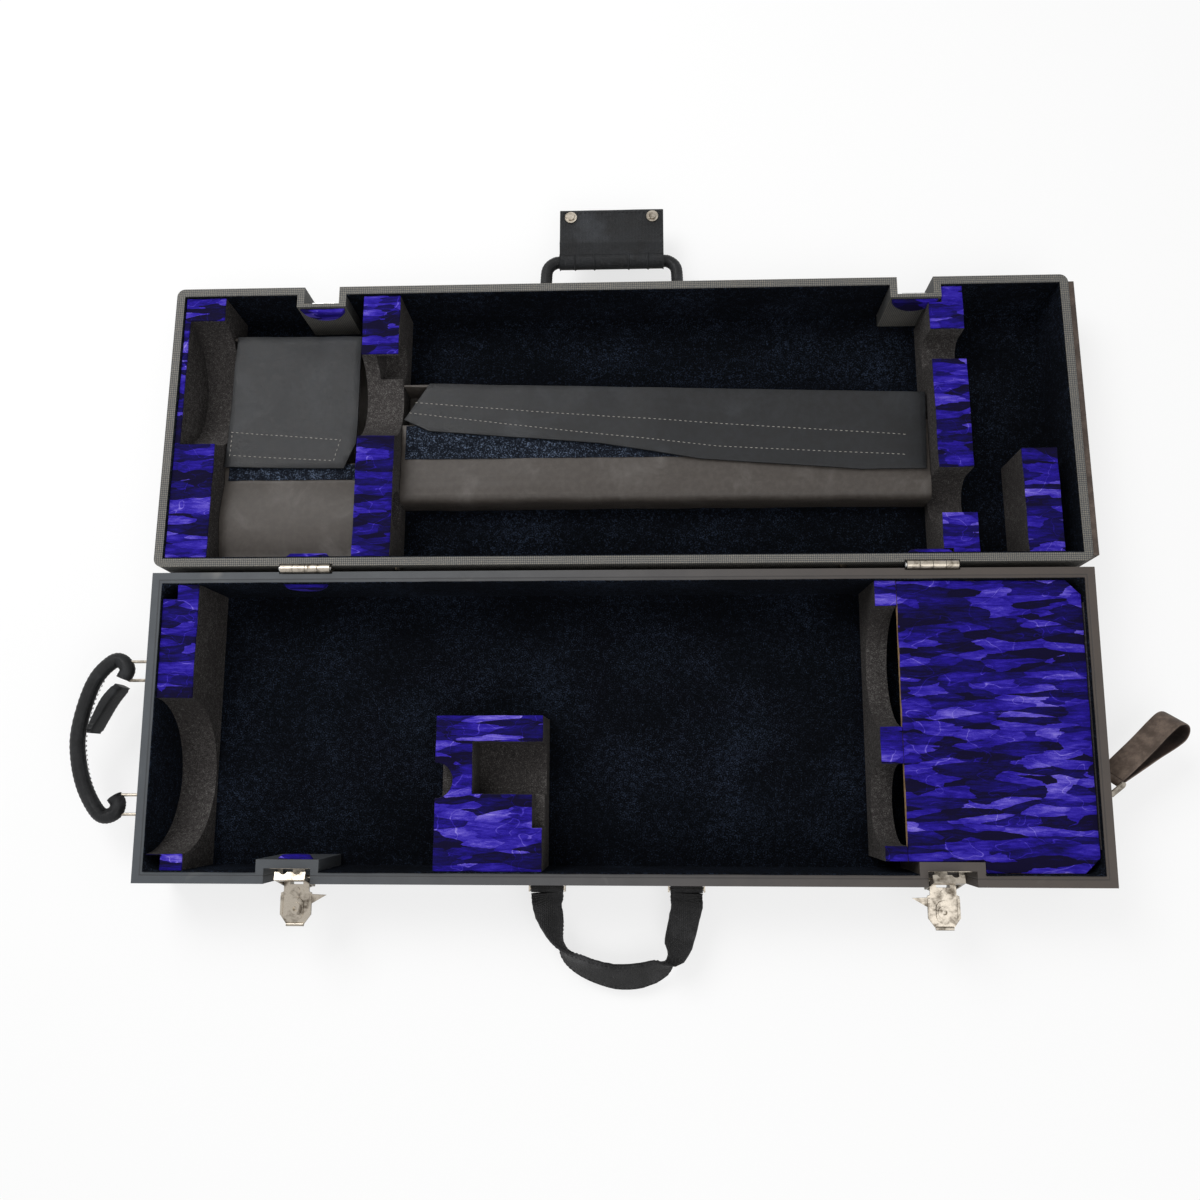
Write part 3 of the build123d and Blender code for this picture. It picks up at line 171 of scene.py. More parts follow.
class Finish:
    """A material in the making: its tree, its shader, and one method for any node."""

    def __init__(self, name, **settings):
        self.material = bpy.data.materials.new(name)
        self.material.use_nodes = True
        self.tree = self.material.node_tree
        self.shader = self.tree.nodes["Principled BSDF"]
        for key, value in settings.items():
            self.shader.inputs[key.replace("_", " ")].default_value = value

    def node(self, kind, settings=None, inputs=None, output=0):
        made = self.tree.nodes.new(kind)
        for key, value in (settings or {}).items():
            setattr(made, key, value)
        for key, value in (inputs or {}).items():
            self.feed(made.inputs[key], value)
        return Value(self, made.outputs[output])

    def feed(self, socket, value):
        if isinstance(value, Value):
            self.tree.links.new(value.socket, socket)
        else:
            socket.default_value = value

    def place(self, scale=(1, 1, 1), turned=(0, 0, 0)):
        """Object coordinates, in metres times the scale."""
        spot = self.node("ShaderNodeTexCoord", output="Object")
        return self.node(
            "ShaderNodeMapping",
            inputs={"Vector": spot, "Scale": scale, "Rotation": turned},
        )

    def axis(self, letter):
        """One coordinate of the object, in metres."""
        spot = self.node("ShaderNodeTexCoord", output="Object")
        return self.node("ShaderNodeSeparateXYZ", inputs={0: spot}, output=letter)

    def cloud(self, spot, scale, detail=2.0, rough=0.5, swirl=0.0):
        """Noise from 0 to 1."""
        return self.node(
            "ShaderNodeTexNoise",
            inputs={
                "Vector": spot,
                "Scale": scale,
                "Detail": detail,
                "Roughness": rough,
                "Distortion": swirl,
            },
        )

    def cells(self, spot, scale, feature="F1", output="Distance", scatter=1.0):
        return self.node(
            "ShaderNodeTexVoronoi",
            {"feature": feature},
            {"Vector": spot, "Scale": scale, "Randomness": scatter},
            output,
        )

    def grey(self, colour):
        return self.node("ShaderNodeSeparateColor", inputs={0: colour}, output=0)

    def warp(self, spot, scale, amount):
        """Coordinates pushed about by noise, so that a pattern's edges wander."""
        push = self.node(
            "ShaderNodeTexNoise", inputs={"Vector": spot, "Scale": scale}, output="Color"
        )
        middle = self.node(
            "ShaderNodeVectorMath", {"operation": "SUBTRACT"}, {0: push, 1: (0.5,) * 3}
        )
        sized = self.node(
            "ShaderNodeVectorMath", {"operation": "SCALE"}, {0: middle, "Scale": amount}
        )
        return self.node("ShaderNodeVectorMath", {"operation": "ADD"}, {0: spot, 1: sized})

    def ramp(self, value, *stops):
        """A colour ramp through (place, colour) stops."""
        made = self.node("ShaderNodeValToRGB", inputs={0: value})
        elements = made.socket.node.color_ramp.elements
        while len(elements) < len(stops):
            elements.new(0.5)
        for element, (spot, colour) in zip(elements, sorted(stops)):
            element.position, element.color = spot, colour
        return made

    def mix(self, share, first, second):
        """Two colours, from all of the first at 0 to all of the second at 1."""
        return self.node(
            "ShaderNodeMix",
            {"data_type": "RGBA"},
            {0: share, 6: first, 7: second},
            output=2,
        )

    def relief(self, height, depth, strength=1.0):
        """Bumps of a height from 0 to 1, depth metres high."""
        bump = self.node(
            "ShaderNodeBump",
            inputs={"Height": height, "Distance": depth, "Strength": strength},
        )
        self.feed(self.shader.inputs["Normal"], bump)

    def wear(self, colour=None, rough=None, metal=None):
        """Send what changes over the surface to the shader, and hand the material over."""
        for key, value in (("Base Color", colour), ("Roughness", rough), ("Metallic", metal)):
            if value is not None:
                self.feed(self.shader.inputs[key], value)
        return self.material


# %% [markdown]
# ## Crushed velvet
#
# The blocks and the compartment's lid are covered in blue velvet whose pile was crushed in
# the weaving, so patches of it lean different ways. A patch that leans away is almost
# black, one that leans to the light is lavender, and the border between two patches is
# sharp. That light and shade is painted into the colour: warped cells give the patches,
# stretched noise gives the streaks that run along the case, and a thin line of another
# noise paints a highlight along the creases.


# %% Crushed velvet
def crushed_velvet(name):
    """Blue velvet with a crushed pile, its patches slanted a little to the case."""
    slant = (0, 0, 0.16)
    cloth = Finish(name, Roughness=0.75, Specular_IOR_Level=0.1, Sheen_Weight=0.06)
    cloth.shader.inputs["Sheen Tint"].default_value = paint(150, 140, 235)
    patches = cloth.warp(cloth.warp(cloth.place((34, 150, 150), slant), 0.35, 1.7), 2.2, 0.3)
    lean = cloth.grey(cloth.cells(patches, 1.0, output="Color"))
    middle = 1 - cloth.cells(patches, 1.0)
    broad = cloth.cloud(cloth.place((10, 22, 22)), 1.0, 3.0, 0.6, 0.8)
    fine = cloth.cloud(cloth.place((90, 520, 520), slant), 1.0, 4.0, 0.7, 0.4)
    pile = cloth.cloud(cloth.place(), 2600, 1.0)
    fold = cloth.cloud(cloth.warp(cloth.place((30, 50, 50)), 0.8, 1.2), 1.0, 1.0, 0.4, 0.4)
    # A painted highlight along the thin crease lines.
    crease_highlight = 1 - abs(fold - 0.5).step(0.0, 0.008)
    shade = lean * 0.36 + middle * 0.1 + broad * 0.34 + fine * 0.36 + crease_highlight * 0.12
    shade = shade + (pile - 0.5) * 0.14
    # The ramp paints the pile's light and shade: near black where a patch leans away, lavender highlights where it
    # leans to the light.
    colour = cloth.ramp(
        shade,
        (0.44, paint(5, 1, 34)),
        (0.55, paint(14, 6, 84)),
        (0.64, paint(30, 15, 134)),
        (0.72, paint(54, 40, 164)),
        (0.80, paint(100, 86, 194)),
        (0.92, paint(150, 138, 218)),
    )
    cloth.relief(shade * 0.8 + pile * 0.2, 0.0014, 0.5)
    return cloth.wear(colour, rough=0.9 - shade * 0.3)


velvet = crushed_velvet("crushed_velvet")

# %% [markdown]
# ## Plush, felt and cloth
#
# The trays are lined with short dark plush. Single hairs catch the light as fine specks
# on near-black. The sides of the blocks are bare felt, a grey-brown speckle. Both are a
# base tone with two sizes of noise, and a bump from the same noise.


# %% Plush and felt
def speckled(name, tones, grain, depth, sheen=0.06, streak=1.0):
    """A short-haired cloth: dark, middle and light tones over grains of one size."""
    dark, middle, light = tones
    cloth = Finish(name, Roughness=0.95, Specular_IOR_Level=0.06, Sheen_Weight=sheen)
    cloth.shader.inputs["Sheen Tint"].default_value = light
    hairs = cloth.cloud(cloth.place((grain * streak, grain, grain)), 1.0, 2.0, 0.7)
    tufts = cloth.cloud(cloth.place(), grain / 4, 3.0, 0.6)
    worn = cloth.cloud(cloth.place(), 14, 2.0)
    tone = hairs * 0.62 + tufts * 0.28 + worn * 0.2
    colour = cloth.ramp(tone, (0.36, dark), (0.58, middle), (0.78, light))
    cloth.relief(hairs * 0.7 + tufts * 0.3, depth, 0.8)
    return cloth.wear(colour)


plush = speckled(
    "dark_plush", (paint(1, 2, 4), paint(6, 8, 13), paint(46, 56, 74)), 950, 0.0008
)
felt = speckled(
    "grey_felt", (paint(30, 29, 30), paint(60, 57, 56), paint(120, 118, 116)), 1300, 0.0003, 0.05
)
hook_tape = speckled(
    "hook_tape", (paint(8, 10, 14), paint(22, 26, 34), paint(110, 125, 150)), 800, 0.0007
)
strip_cloth = speckled(
    "strip_cloth", (paint(30, 28, 30), paint(50, 48, 50), paint(90, 90, 95)), 1500, 0.0002, 0.1
)
bare_wood = speckled(
    "bare_wood", (paint(120, 95, 66), paint(160, 132, 96), paint(190, 164, 128)), 300, 0.0002,
    0.0, 0.08,
)

# %% [markdown]
# ## Leatherette on the shell
#
# The base is covered in smooth cloth-backed leatherette with a pressed line round the rim.
# Its colour is painted from bluish at the left of the picture to brown at the right, which
# is painted light falling across the case, and the pressed line is darkened with painted
# shade in its groove. The lid's covering has a woven diamond grain with pale and tan
# threads. The grain is two sets of diagonal waves that cross, which needs no picture and
# stays sharp from any distance.

# %% Shell leatherette
edge_line = 6.4 * mm  # the pressed line, in from the outer edge


def base_leatherette():
    skin = Finish("base_leatherette", Roughness=0.55, Specular_IOR_Level=0.4)
    x, y = skin.axis("X"), skin.axis("Y")
    # Painted light: the skin goes from bluish at the left to brown at the right, as the light falls across the
    # base.
    turned = (x / case_length + 0.5).step(0.0, 1.0)
    grain = skin.cells(skin.place(), 1500, "F1")
    mottle = skin.cloud(skin.place(), 60, 4.0, 0.6)
    scuffs = skin.cloud(skin.place((1, 1, 4)), 16, 3.0, 0.7, 0.5).step(0.62, 0.8)
    tone = skin.mix(turned, paint(70, 75, 80), paint(72, 63, 56))
    tone = skin.mix(mottle * 0.5, tone, paint(52, 52, 54))
    tone = skin.mix(scuffs * 0.35, tone, paint(150, 148, 142))
    # Painted shade in the pressed line's groove: the line is sunk by the bump below and darkened in colour.
    inset = (abs(x) - half_length).larger(abs(y) - half_width) + edge_line
    line = 1 - abs(inset).step(0.0002, 0.0007)
    tone = skin.mix(line * 0.55, tone, paint(34, 33, 34))
    skin.relief(grain * 0.5 + mottle * 0.3 - line, 0.0004, 0.6)
    return skin.wear(tone, rough=mottle * 0.2 + 0.45)


def woven_leatherette():
    skin = Finish("woven_leatherette", Roughness=0.6, Specular_IOR_Level=0.35)
    x, y, z = skin.axis("X"), skin.axis("Y"), skin.axis("Z")
    pitch = 2 * pi / (3.4 * mm)
    up = y + z
    warp = ((x + up) * pitch).wave()
    weft = ((x - up) * pitch).wave()
    weave = (warp * weft + 1) * 0.5
    threads = skin.cloud(skin.place(), 900, 2.0, 0.6)
    mottle = skin.cloud(skin.place(), 50, 3.0, 0.6)
    tone = skin.ramp(
        weave * 0.6 + threads * 0.5,
        (0.25, paint(50, 51, 53)),
        (0.55, paint(92, 92, 90)),
        (0.8, paint(132, 128, 118)),
        (0.95, paint(170, 150, 120)),
    )
    tone = skin.mix(mottle * 0.45, tone, paint(60, 60, 62))
    skin.relief(weave * 0.7 + threads * 0.3, 0.0005, 0.8)
    return skin.wear(tone, rough=0.7 - weave * 0.2)


base_skin = base_leatherette()
lid_skin = woven_leatherette()

# %% [markdown]
# ## Leather
#
# Five leathers share one recipe: a cell pattern for the grain, a slow noise for wear, and
# a second colour where it is rubbed. What differs is the size of the grain, how deep it
# is, and how far the gloss has gone. The handle's leather is black with a deep grain. The
# pouch flaps are thin, slate grey and satin, with almost no grain.


# %% Leather
def leather(name, deep, face, rubbed, grain=900.0, depth=0.0004, gloss=0.45, crossed=0.0):
    """A dyed leather: its deep, face and rubbed colours, its grain and its gloss."""
    hide = Finish(name, Roughness=gloss, Specular_IOR_Level=0.3)
    pores = hide.cells(hide.warp(hide.place(), 200, 0.002), grain, "DISTANCE_TO_EDGE")
    creases = 1 - pores.step(0.0, 0.12)
    mottle = hide.cloud(hide.place(), grain / 12, 4.0, 0.6)
    rub = hide.cloud(hide.place(), 22, 4.0, 0.65, 0.4).step(0.5, 0.78)
    colour = hide.mix(mottle.step(0.35, 0.7), deep, face)
    colour = hide.mix(rub * 0.6, colour, rubbed)
    colour = hide.mix(creases * 0.5, colour, deep)
    height = mottle * 0.4 - creases * 0.6
    if crossed:
        x, y, z = hide.axis("X"), hide.axis("Y"), hide.axis("Z")
        lines = ((x + y + z) * (2 * pi / crossed)).wave() * ((x - y - z) * (2 * pi / crossed)).wave()
        height = height + lines * 0.6
    hide.relief(height, depth, 0.7)
    return hide.wear(colour, rough=mottle * 0.25 + creases * 0.2 + (gloss - 0.12))


grip_leather = leather(
    "grip_leather", paint(10, 11, 13), paint(30, 31, 33), paint(78, 80, 84), 1100, 0.0006, 0.42
)
strap_leather = leather(
    "strap_leather", paint(14, 14, 15), paint(34, 34, 35), paint(84, 84, 86), 700, 0.0007, 0.48,
    crossed=3.0 * mm,
)
wrap_leather = leather(
    "wrap_leather", paint(14, 15, 17), paint(28, 30, 33), paint(62, 65, 70), 800, 0.0005, 0.45,
    crossed=2.6 * mm,
)
flap_leather = leather(
    "flap_leather", paint(17, 18, 20), paint(26, 28, 31), paint(48, 51, 55), 1800, 0.00012, 0.36
)
pouch_cloth = leather(
    "pouch_cloth", paint(62, 57, 53), paint(72, 67, 63), paint(104, 100, 97), 2400, 0.00006, 0.42
)
loop_leather = leather(
    "loop_leather", paint(78, 66, 58), paint(118, 103, 92), paint(160, 146, 134), 1500, 0.0002, 0.55
)
loop_inside = leather(
    "loop_inside", paint(24, 16, 12), paint(44, 31, 25), paint(70, 54, 44), 900, 0.0003, 0.7
)
board_leather = leather(
    "board_leather", paint(60, 50, 44), paint(92, 80, 72), paint(130, 116, 106), 1200, 0.0002, 0.5
)

# %% [markdown]
# ## Metal and thread
#
# The fittings are nickel on pressed steel, handled for decades. Slow noise mixes the plate
# from bright to dull brown in patches, partly tarnish and partly painted shade that stands
# in for the dark reflections the plate would show. The same noise moves the roughness,
# which reads as tarnish, and fine stretched noise gives the brushed scratches.


# %% Metal and thread
def metal(name, bright, dull, rough, scratch=0.08):
    plate = Finish(name, Metallic=1.0, Roughness=rough)
    tarnish_and_shade = plate.cloud(plate.place(), 120, 4.0, 0.65, 0.3)
    lines = plate.cloud(plate.place((300, 2600, 2600)), 1.0, 2.0)
    # The dull colour is partly tarnish and partly painted shade, standing in for the plate's dark reflections.
    colour = plate.mix(tarnish_and_shade.step(0.42, 0.7), bright, dull)
    plate.relief(lines, 0.00003, 0.5)
    return plate.wear(colour, rough=tarnish_and_shade * 0.35 + lines * scratch + (rough - 0.16))


nickel = metal("nickel", paint(168, 160, 148), paint(84, 76, 66), 0.27)
steel = metal("plain_steel", paint(190, 190, 190), paint(110, 105, 100), 0.34)


def plain_thread(name, colour, shadow):
    yarn = Finish(name, Roughness=0.8)
    twist = yarn.cloud(yarn.place(), 2200, 1.0)
    return yarn.wear(yarn.mix(twist, shadow, colour))


pale_thread = plain_thread("pale_thread", paint(196, 192, 184), paint(120, 116, 110))
dark_thread = plain_thread("dark_thread", paint(30, 30, 32), paint(10, 10, 11))

# %% Finishes of the model's hard parts
hard_finishes = {
    base_skin: ("base_walls", "base_bottom"),
    lid_skin: ("lid_walls", "lid_panel"),
    felt: (
        "base_left_block", "base_centre_block", "base_right_cradle", "lid_left_block",
        "lid_left_cradle", "lid_right_cradle", "lid_end_block",
    ),
    bare_wood: ("compartment_lid_board", "compartment_cleats"),
    nickel: (
        "base_hinge_leaves", "base_hinge_screws", "base_glides", "latch_bracket_left",
        "latch_bracket_right", "base_fitting_screws", "latch_lever_left", "latch_lever_right",
        "latch_hook_left", "latch_hook_right", "front_strap_anchors", "end_handle_bails",
        "end_handle_anchors", "right_strap_anchor", "lid_hinge_leaves", "lid_hinge_screws",
        "lid_glides", "lid_handle_anchors", "handle_snaps",
    ),
    steel: ("hinge_pins", "latch_rods", "strike_plates"),
    board_leather: ("lid_end_board",),
}
soft_finishes = {
    plush: ("base_lining", "lid_lining"),
    velvet: (
        "base_left_velvet", "base_centre_velvet", "base_right_velvet", "compartment_lid_velvet",
        "base_screw_pads", "lid_left_velvet", "lid_cradle_velvet", "lid_screw_pads",
    ),
    strip_cloth: ("compartment_hinge_strip",),
    hook_tape: ("pouch_tapes",),
    pouch_cloth: ("short_pouch", "long_pouch"),
    flap_leather: ("short_flap", "long_flap"),
    strap_leather: ("front_strap",),
    grip_leather: ("end_handle_grip", "end_handle_flap", "lid_handle_core"),
    wrap_leather: ("lid_handle_sleeve", "lid_handle_flap"),
    loop_leather: ("right_strap",),
}
for finishes in (hard_finishes, soft_finishes):
    for material, names in finishes.items():
        for name in names:
            slots = nodes[name].data.materials
            slots.clear()
            slots.append(material)
print(len(nodes), "nodes of the model have their finish")

# %% [markdown]
# ## From a solid to a soft piece
#
# Each soft part of the model is a plain solid of the right size in the right place. Glued
# cloth follows what it is glued to, so a copy of the solid is the best start: its loose
# triangles are merged, its flat faces joined, its edges rounded, and then it is cut into
# a grid so that it can dip and swell a little, as cloth does.


def solid_copy(node):
    """A clean bmesh of one node of the model, with its flat faces whole."""
    bm = bmesh.new()
    bm.from_mesh(nodes[node].data)
    bmesh.ops.remove_doubles(bm, verts=bm.verts, dist=0.00001)
    bmesh.ops.dissolve_limit(
        bm, angle_limit=radians(1), verts=bm.verts, edges=bm.edges, delimit=set()
    )
    return bm


def round_edges(bm, width, steps=2, sharper=40):
    """Round every edge that turns by more than so many degrees."""
    sharp = [e for e in bm.edges if e.is_manifold and e.calc_face_angle(0) > radians(sharper)]
    bmesh.ops.bevel(
        bm,
        geom=sharp,
        offset=width,
        offset_type="OFFSET",
        affect="EDGES",
        segments=steps,
        profile=0.5,
        clamp_overlap=True,
        material=-1,
    )


def grid_cuts(bm, spacing, axes=(0, 1)):
    """Cut a mesh into cells along the given axes of the case."""
    for axis in axes:
        normal = Vector([float(i == axis) for i in range(3)])
        places = [v.co[axis] for v in bm.verts]
        start, end = min(places), max(places)
        count = int((end - start) / spacing)
        for i in range(1, count):
            cut = normal * (start + (end - start) * i / count)
            everything = bm.verts[:] + bm.edges[:] + bm.faces[:]
            bmesh.ops.bisect_plane(bm, geom=everything, plane_co=cut, plane_no=normal, dist=1e-6)


def ripple(bm, height, size, seed=0.0, pick=lambda v: True):
    """Push the surface in and out by a smooth noise, along its own normals."""
    bm.normal_update()
    for v in bm.verts:
        if pick(v):
            v.co += v.normal * height * noise.noise(v.co / size + Vector((seed, seed, seed)))


def to_piece(bm, name, material, body, stands_for=(), smooth=35):
    """Turn a finished bmesh into a piece that rides on a body of the case."""
    bmesh.ops.recalc_face_normals(bm, faces=bm.faces)
    mesh = bpy.data.meshes.new(name)
    bm.to_mesh(mesh)
    bm.free()
    mesh.materials.append(material)
    for polygon in mesh.polygons:
        polygon.use_smooth = True
    mesh.set_sharp_from_angle(angle=radians(smooth))
    piece = bpy.data.objects.new(name, mesh)
    bpy.context.scene.collection.objects.link(piece)
    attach(piece, body)
    if stands_for:
        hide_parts(*stands_for)
    return piece


body_of_node = {
    node: body for body, members in frame["record"]["behaviour"]["bodies"].items() for node in members
}
print("the helpers for soft pieces are ready")

# %% [markdown]
# ## Linings and velvet covers
#
# The lining's top edge stands a little over the base's rim and is rounded. The velvet
# is stretched over a thin wadding on each block, so its edges are round and its middle
# swells by a few tenths of a millimetre.


# %% Linings and velvet
def glued_cloth(node, material, edge, cell, swell, seed=0.0):
    bm = solid_copy(node)
    round_edges(bm, edge)
    grid_cuts(bm, cell)
    ripple(bm, swell, 0.018, seed)
    return to_piece(bm, f"{node}_cloth", material, body_of_node[node], (node,))


floor_share = 0.9  # the floor's part of the outer length times width, rounded
two_walls = 0.134  # the base's two walls, used for the lid's lining too
linings = {
    "base_lining": (2 * case_width + 2 * case_length) * 0.067 + case_length * case_width * floor_share,
    "lid_lining": (2 * case_width + 2 * case_length) * 0.056 + case_length * case_width * floor_share,
}
for seed, (node, area) in enumerate(linings.items()):
    piece = glued_cloth(node, plush, 0.5 * mm, 0.012, 0.25 * mm, seed)
    width, length = case_width + two_walls, case_length + two_walls

velvet_cells = {
    "base_left_velvet": 0.004, "base_centre_velvet": 0.004, "base_right_velvet": 0.004,
    "compartment_lid_velvet": 0.005, "lid_left_velvet": 0.004, "lid_cradle_velvet": 0.004,
}
for seed, (node, cell) in enumerate(velvet_cells.items()):
    cover = glued_cloth(node, velvet, 0.45 * mm, cell, 0.5 * mm, 3.0 + seed)
print(len(linings) + len(velvet_cells), "glued cloths")

# %% [markdown]
# ## Puffed patches over the screws
#
# Behind each hinge and latch a half-moon patch of velvet, stuffed with wadding, hides the
# screws' ends. Stuffing pushes out evenly, so a short cloth simulation with air pressure
# gives its swell. The copy is remeshed first, because pressure needs even cells, and no
# point may move more than a cap.

# %% Puffed patches
pressure, frames, puff_cap = 4.0, 20, 1.2 * mm


def settle_cloth(piece, voxel, cap):
    """Swell a closed soft piece by simulation."""
    scene = bpy.context.scene
    bpy.context.view_layer.objects.active = piece
    remesh = piece.modifiers.new("even cells", "REMESH")
    remesh.mode, remesh.voxel_size = "VOXEL", voxel
    bpy.ops.object.modifier_apply(modifier=remesh.name)
    start = [v.co.copy() for v in piece.data.vertices]
    cloth = piece.modifiers.new("air", "CLOTH")
    cloth.settings.use_pressure = True
    cloth.settings.uniform_pressure_force = pressure
    cloth.settings.effector_weights.gravity = 0
    cloth.point_cache.frame_start, cloth.point_cache.frame_end = 1, frames
    for number in range(1, frames + 1):
        scene.frame_set(number)
    bpy.ops.object.modifier_apply(modifier=cloth.name)
    scene.frame_set(1)
    for v, before in zip(piece.data.vertices, start):
        move = v.co - before
        if move.length > cap:
            v.co = before + move.normalized() * cap
    for polygon in piece.data.polygons:
        polygon.use_smooth = True


for seed, node in enumerate(("base_screw_pads", "lid_screw_pads")):
    bm = solid_copy(node)
    patches = to_piece(bm, f"{node}_puffed", velvet, body_of_node[node], (node,))
    settle_cloth(patches, 1.1 * mm, puff_cap)
    print(node, len(patches.data.polygons), "faces, simulated")

# %% [markdown]
# ## Pouches, flaps and hook tape
#
# Two flat pockets of thin grey cloth-backed leather are sewn into the lid, each closed by
# a slate flap that a hook tape holds down. The flaps are old: they lie in slow waves and
# their corners lift a little. Each is a copy of its thin solid, cut into a fine grid, and
# pushed by a broad noise. The bottom face follows the top, so the thickness stays.

# %% Pouches and flaps
def waved_sheet(node, material, edge, cell, wave, size, seed, lift=0.0, lift_start=0.0):
    """A thin sheet that lies in slow waves, with its free edge lifted a little."""
    bm = solid_copy(node)
    round_edges(bm, edge)
    grid_cuts(bm, cell)
    for v in bm.verts:
        out = (v.co - hinge_line).dot(lid_out)
        rise = wave * noise.noise(Vector((v.co.x / size, v.co.y / size, seed)))
        if lift:
            rise += lift * max(0.0, (lift_start - out) / lift_start) ** 2
        v.co += lid_up * abs(rise)
    piece = to_piece(bm, f"{node}_sheet", material, body_of_node[node], (node,))
    return piece


short_flap = waved_sheet("short_flap", flap_leather, 0.4 * mm, 0.006, 3.0 * mm, 0.05, 1.7,
                         4 * mm, 0.222)
long_flap = waved_sheet("long_flap", flap_leather, 0.4 * mm, 0.007, 2.2 * mm, 0.07, 4.1,
                        3 * mm, 0.175)

for seed, node in enumerate(("short_pouch", "long_pouch")):
    bm = solid_copy(node)
    round_edges(bm, 0.5 * mm)
    grid_cuts(bm, 0.008)
    ripple(bm, 0.9 * mm, 0.03, 7.0 + seed)
    to_piece(bm, f"{node}_body", pouch_cloth, "lid", (node,))
bm = solid_copy("pouch_tapes")
grid_cuts(bm, 0.006)
ripple(bm, 0.3 * mm, 0.01)
to_piece(bm, "pouch_tapes_pile", hook_tape, "lid", ("pouch_tapes",))
bm = solid_copy("compartment_hinge_strip")
round_edges(bm, 0.25 * mm)
to_piece(bm, "hinge_strip_cloth", strip_cloth, "base", ("compartment_hinge_strip",))
print("the pouches, their flaps and the tape")

# %% [markdown]
# ## Tubes and straps through stations
#
# A handle or strap is a section carried along a bent line. Here a ring of points is set
# across the line at each station and neighbouring rings are bridged. A low power on the
# ring's sine and cosine squares it up, so the same helper makes a round grip and a flat
# strap. A smooth line through few stations comes from a Catmull-Rom curve.

# %% Tube and stitch helpers
def smooth_line(points, steps):
    """A smooth curve through points of any dimension, steps to each stretch."""
    points = [Vector(p) for p in points]
    padded = [2 * points[0] - points[1], *points, 2 * points[-1] - points[-2]]
    line = []
    for a, b, c, d in zip(padded, padded[1:], padded[2:], padded[3:]):
        for i in range(steps):
            t = i / steps
            line.append(
                0.5 * (2 * b + (c - a) * t + (2 * a - 5 * b + 4 * c - d) * t**2
                       + (3 * b - a - 3 * c + d) * t**3)
            )
    return [*line, points[-1]]


def rings_to_tube(bm, stations, square=1.0, sides=16):
    """Bridge a ring at each (centre, half width vector, half thickness vector)."""
    before = None
    for centre, across, through in stations:
        ring = bmesh.ops.create_circle(bm, segments=sides, radius=1.0)["verts"]
        for v in ring:
            c, s = v.co.x, v.co.y
            v.co = (centre + across * copysign(abs(c) ** square, c)
                    + through * copysign(abs(s) ** square, s))
        edges = list({e for v in ring for e in v.link_edges})
        if before:
            bmesh.ops.bridge_loops(bm, edges=before + edges)
        else:
            bmesh.ops.edgeloop_fill(bm, edges=edges)
        before = edges
    bmesh.ops.edgeloop_fill(bm, edges=before)


def tube(bm, line, radius, upright, sides=16, ribs=0.0, rib_every=2):
    """A round tube along a line; every second ring may stand a little proud as a rib."""
    stations = []
    for i, spot in enumerate(line):
        ahead = (line[min(i + 1, len(line) - 1)] - line[max(i - 1, 0)]).normalized()
        side = ahead.cross(upright).normalized()
        size = radius * (1 + (ribs if i % rib_every == 0 else 0))
        stations.append((spot, side * size, upright.normalized() * size))
    rings_to_tube(bm, stations, sides=sides)


def stitches(bm, line, face, length, gap, radius):
    """Small stitches laid along a line, each a thin bar with pointed ends."""
    walked, next_one = 0.0, 0.0
    for a, b in zip(line, line[1:]):
        step = (b - a).length
        while next_one < walked + step:
            spot = a.lerp(b, (next_one - walked) / step)
            ahead = (b - a).normalized()
            side = ahead.cross(face).normalized()
            frame_of = Matrix((ahead, side, face)).transposed().to_4x4()
            bmesh.ops.create_uvsphere(
                bm, u_segments=6, v_segments=4, radius=1.0,
                matrix=Matrix.Translation(spot) @ frame_of
                @ Matrix.Diagonal((length / 2, radius, radius, 1)),
            )
            next_one += length + gap
        walked += step


def stitch_piece(name, runs, thread, body, length=3.0 * mm, gap=1.4 * mm, radius=0.32 * mm):
    """One piece for several rows of stitches: runs are (line, face direction)."""
    bm = bmesh.new()
    for line, face in runs:
        stitches(bm, [Vector(p) for p in line], face, length, gap, radius)
    return to_piece(bm, name, thread, body)


# %% [markdown]
# ## The front strap
#
# The strap on the base's front is a stuffed leather band. It leaves its two brackets on
# edge, twists and hangs forward in a bow. Its stations are the model's own: the middle of
# the band, and the way from its lower to its upper edge.

# %% Front strap
front_stations = (  # x, out from the wall, z; then the direction across the band
    ((-57.0, 8.5, 38.0), (-27.0, 0.0, 1.0)),
    ((-54.9, 27.0, 33.5), (-20.0, 2.0, 18.0)),
    ((-37.5, 63.0, 22.0), (1.4, 16.0, 21.6)),
    ((4.1, 78.5, 16.0), (4.5, 22.0, 15.0)),
    ((42.0, 65.0, 21.5), (13.8, 17.5, 15.2)),
    ((55.6, 26.0, 33.5), (23.7, 5.5, 11.7)),
    ((57.0, 8.5, 38.0), (27.0, 0.0, 1.0)),
)
strap_half_width, strap_half_depth = 13.3 * mm, 2.4 * mm


def front_line():
    places = smooth_line([place for place, across in front_stations], 9)
    acrosses = smooth_line([across for place, across in front_stations], 9)
    stations = []
    points = [Vector((x, -out, z)) * mm + Vector((0, -half_width, 0)) for x, out, z in places]
    for i, (spot, across) in enumerate(zip(points, acrosses)):
        ahead = (points[min(i + 1, len(points) - 1)] - points[max(i - 1, 0)]).normalized()
        across = Vector(across)
        across = (across - ahead * across.dot(ahead)).normalized()
        stations.append((spot, ahead, across, ahead.cross(across).normalized()))
    return stations


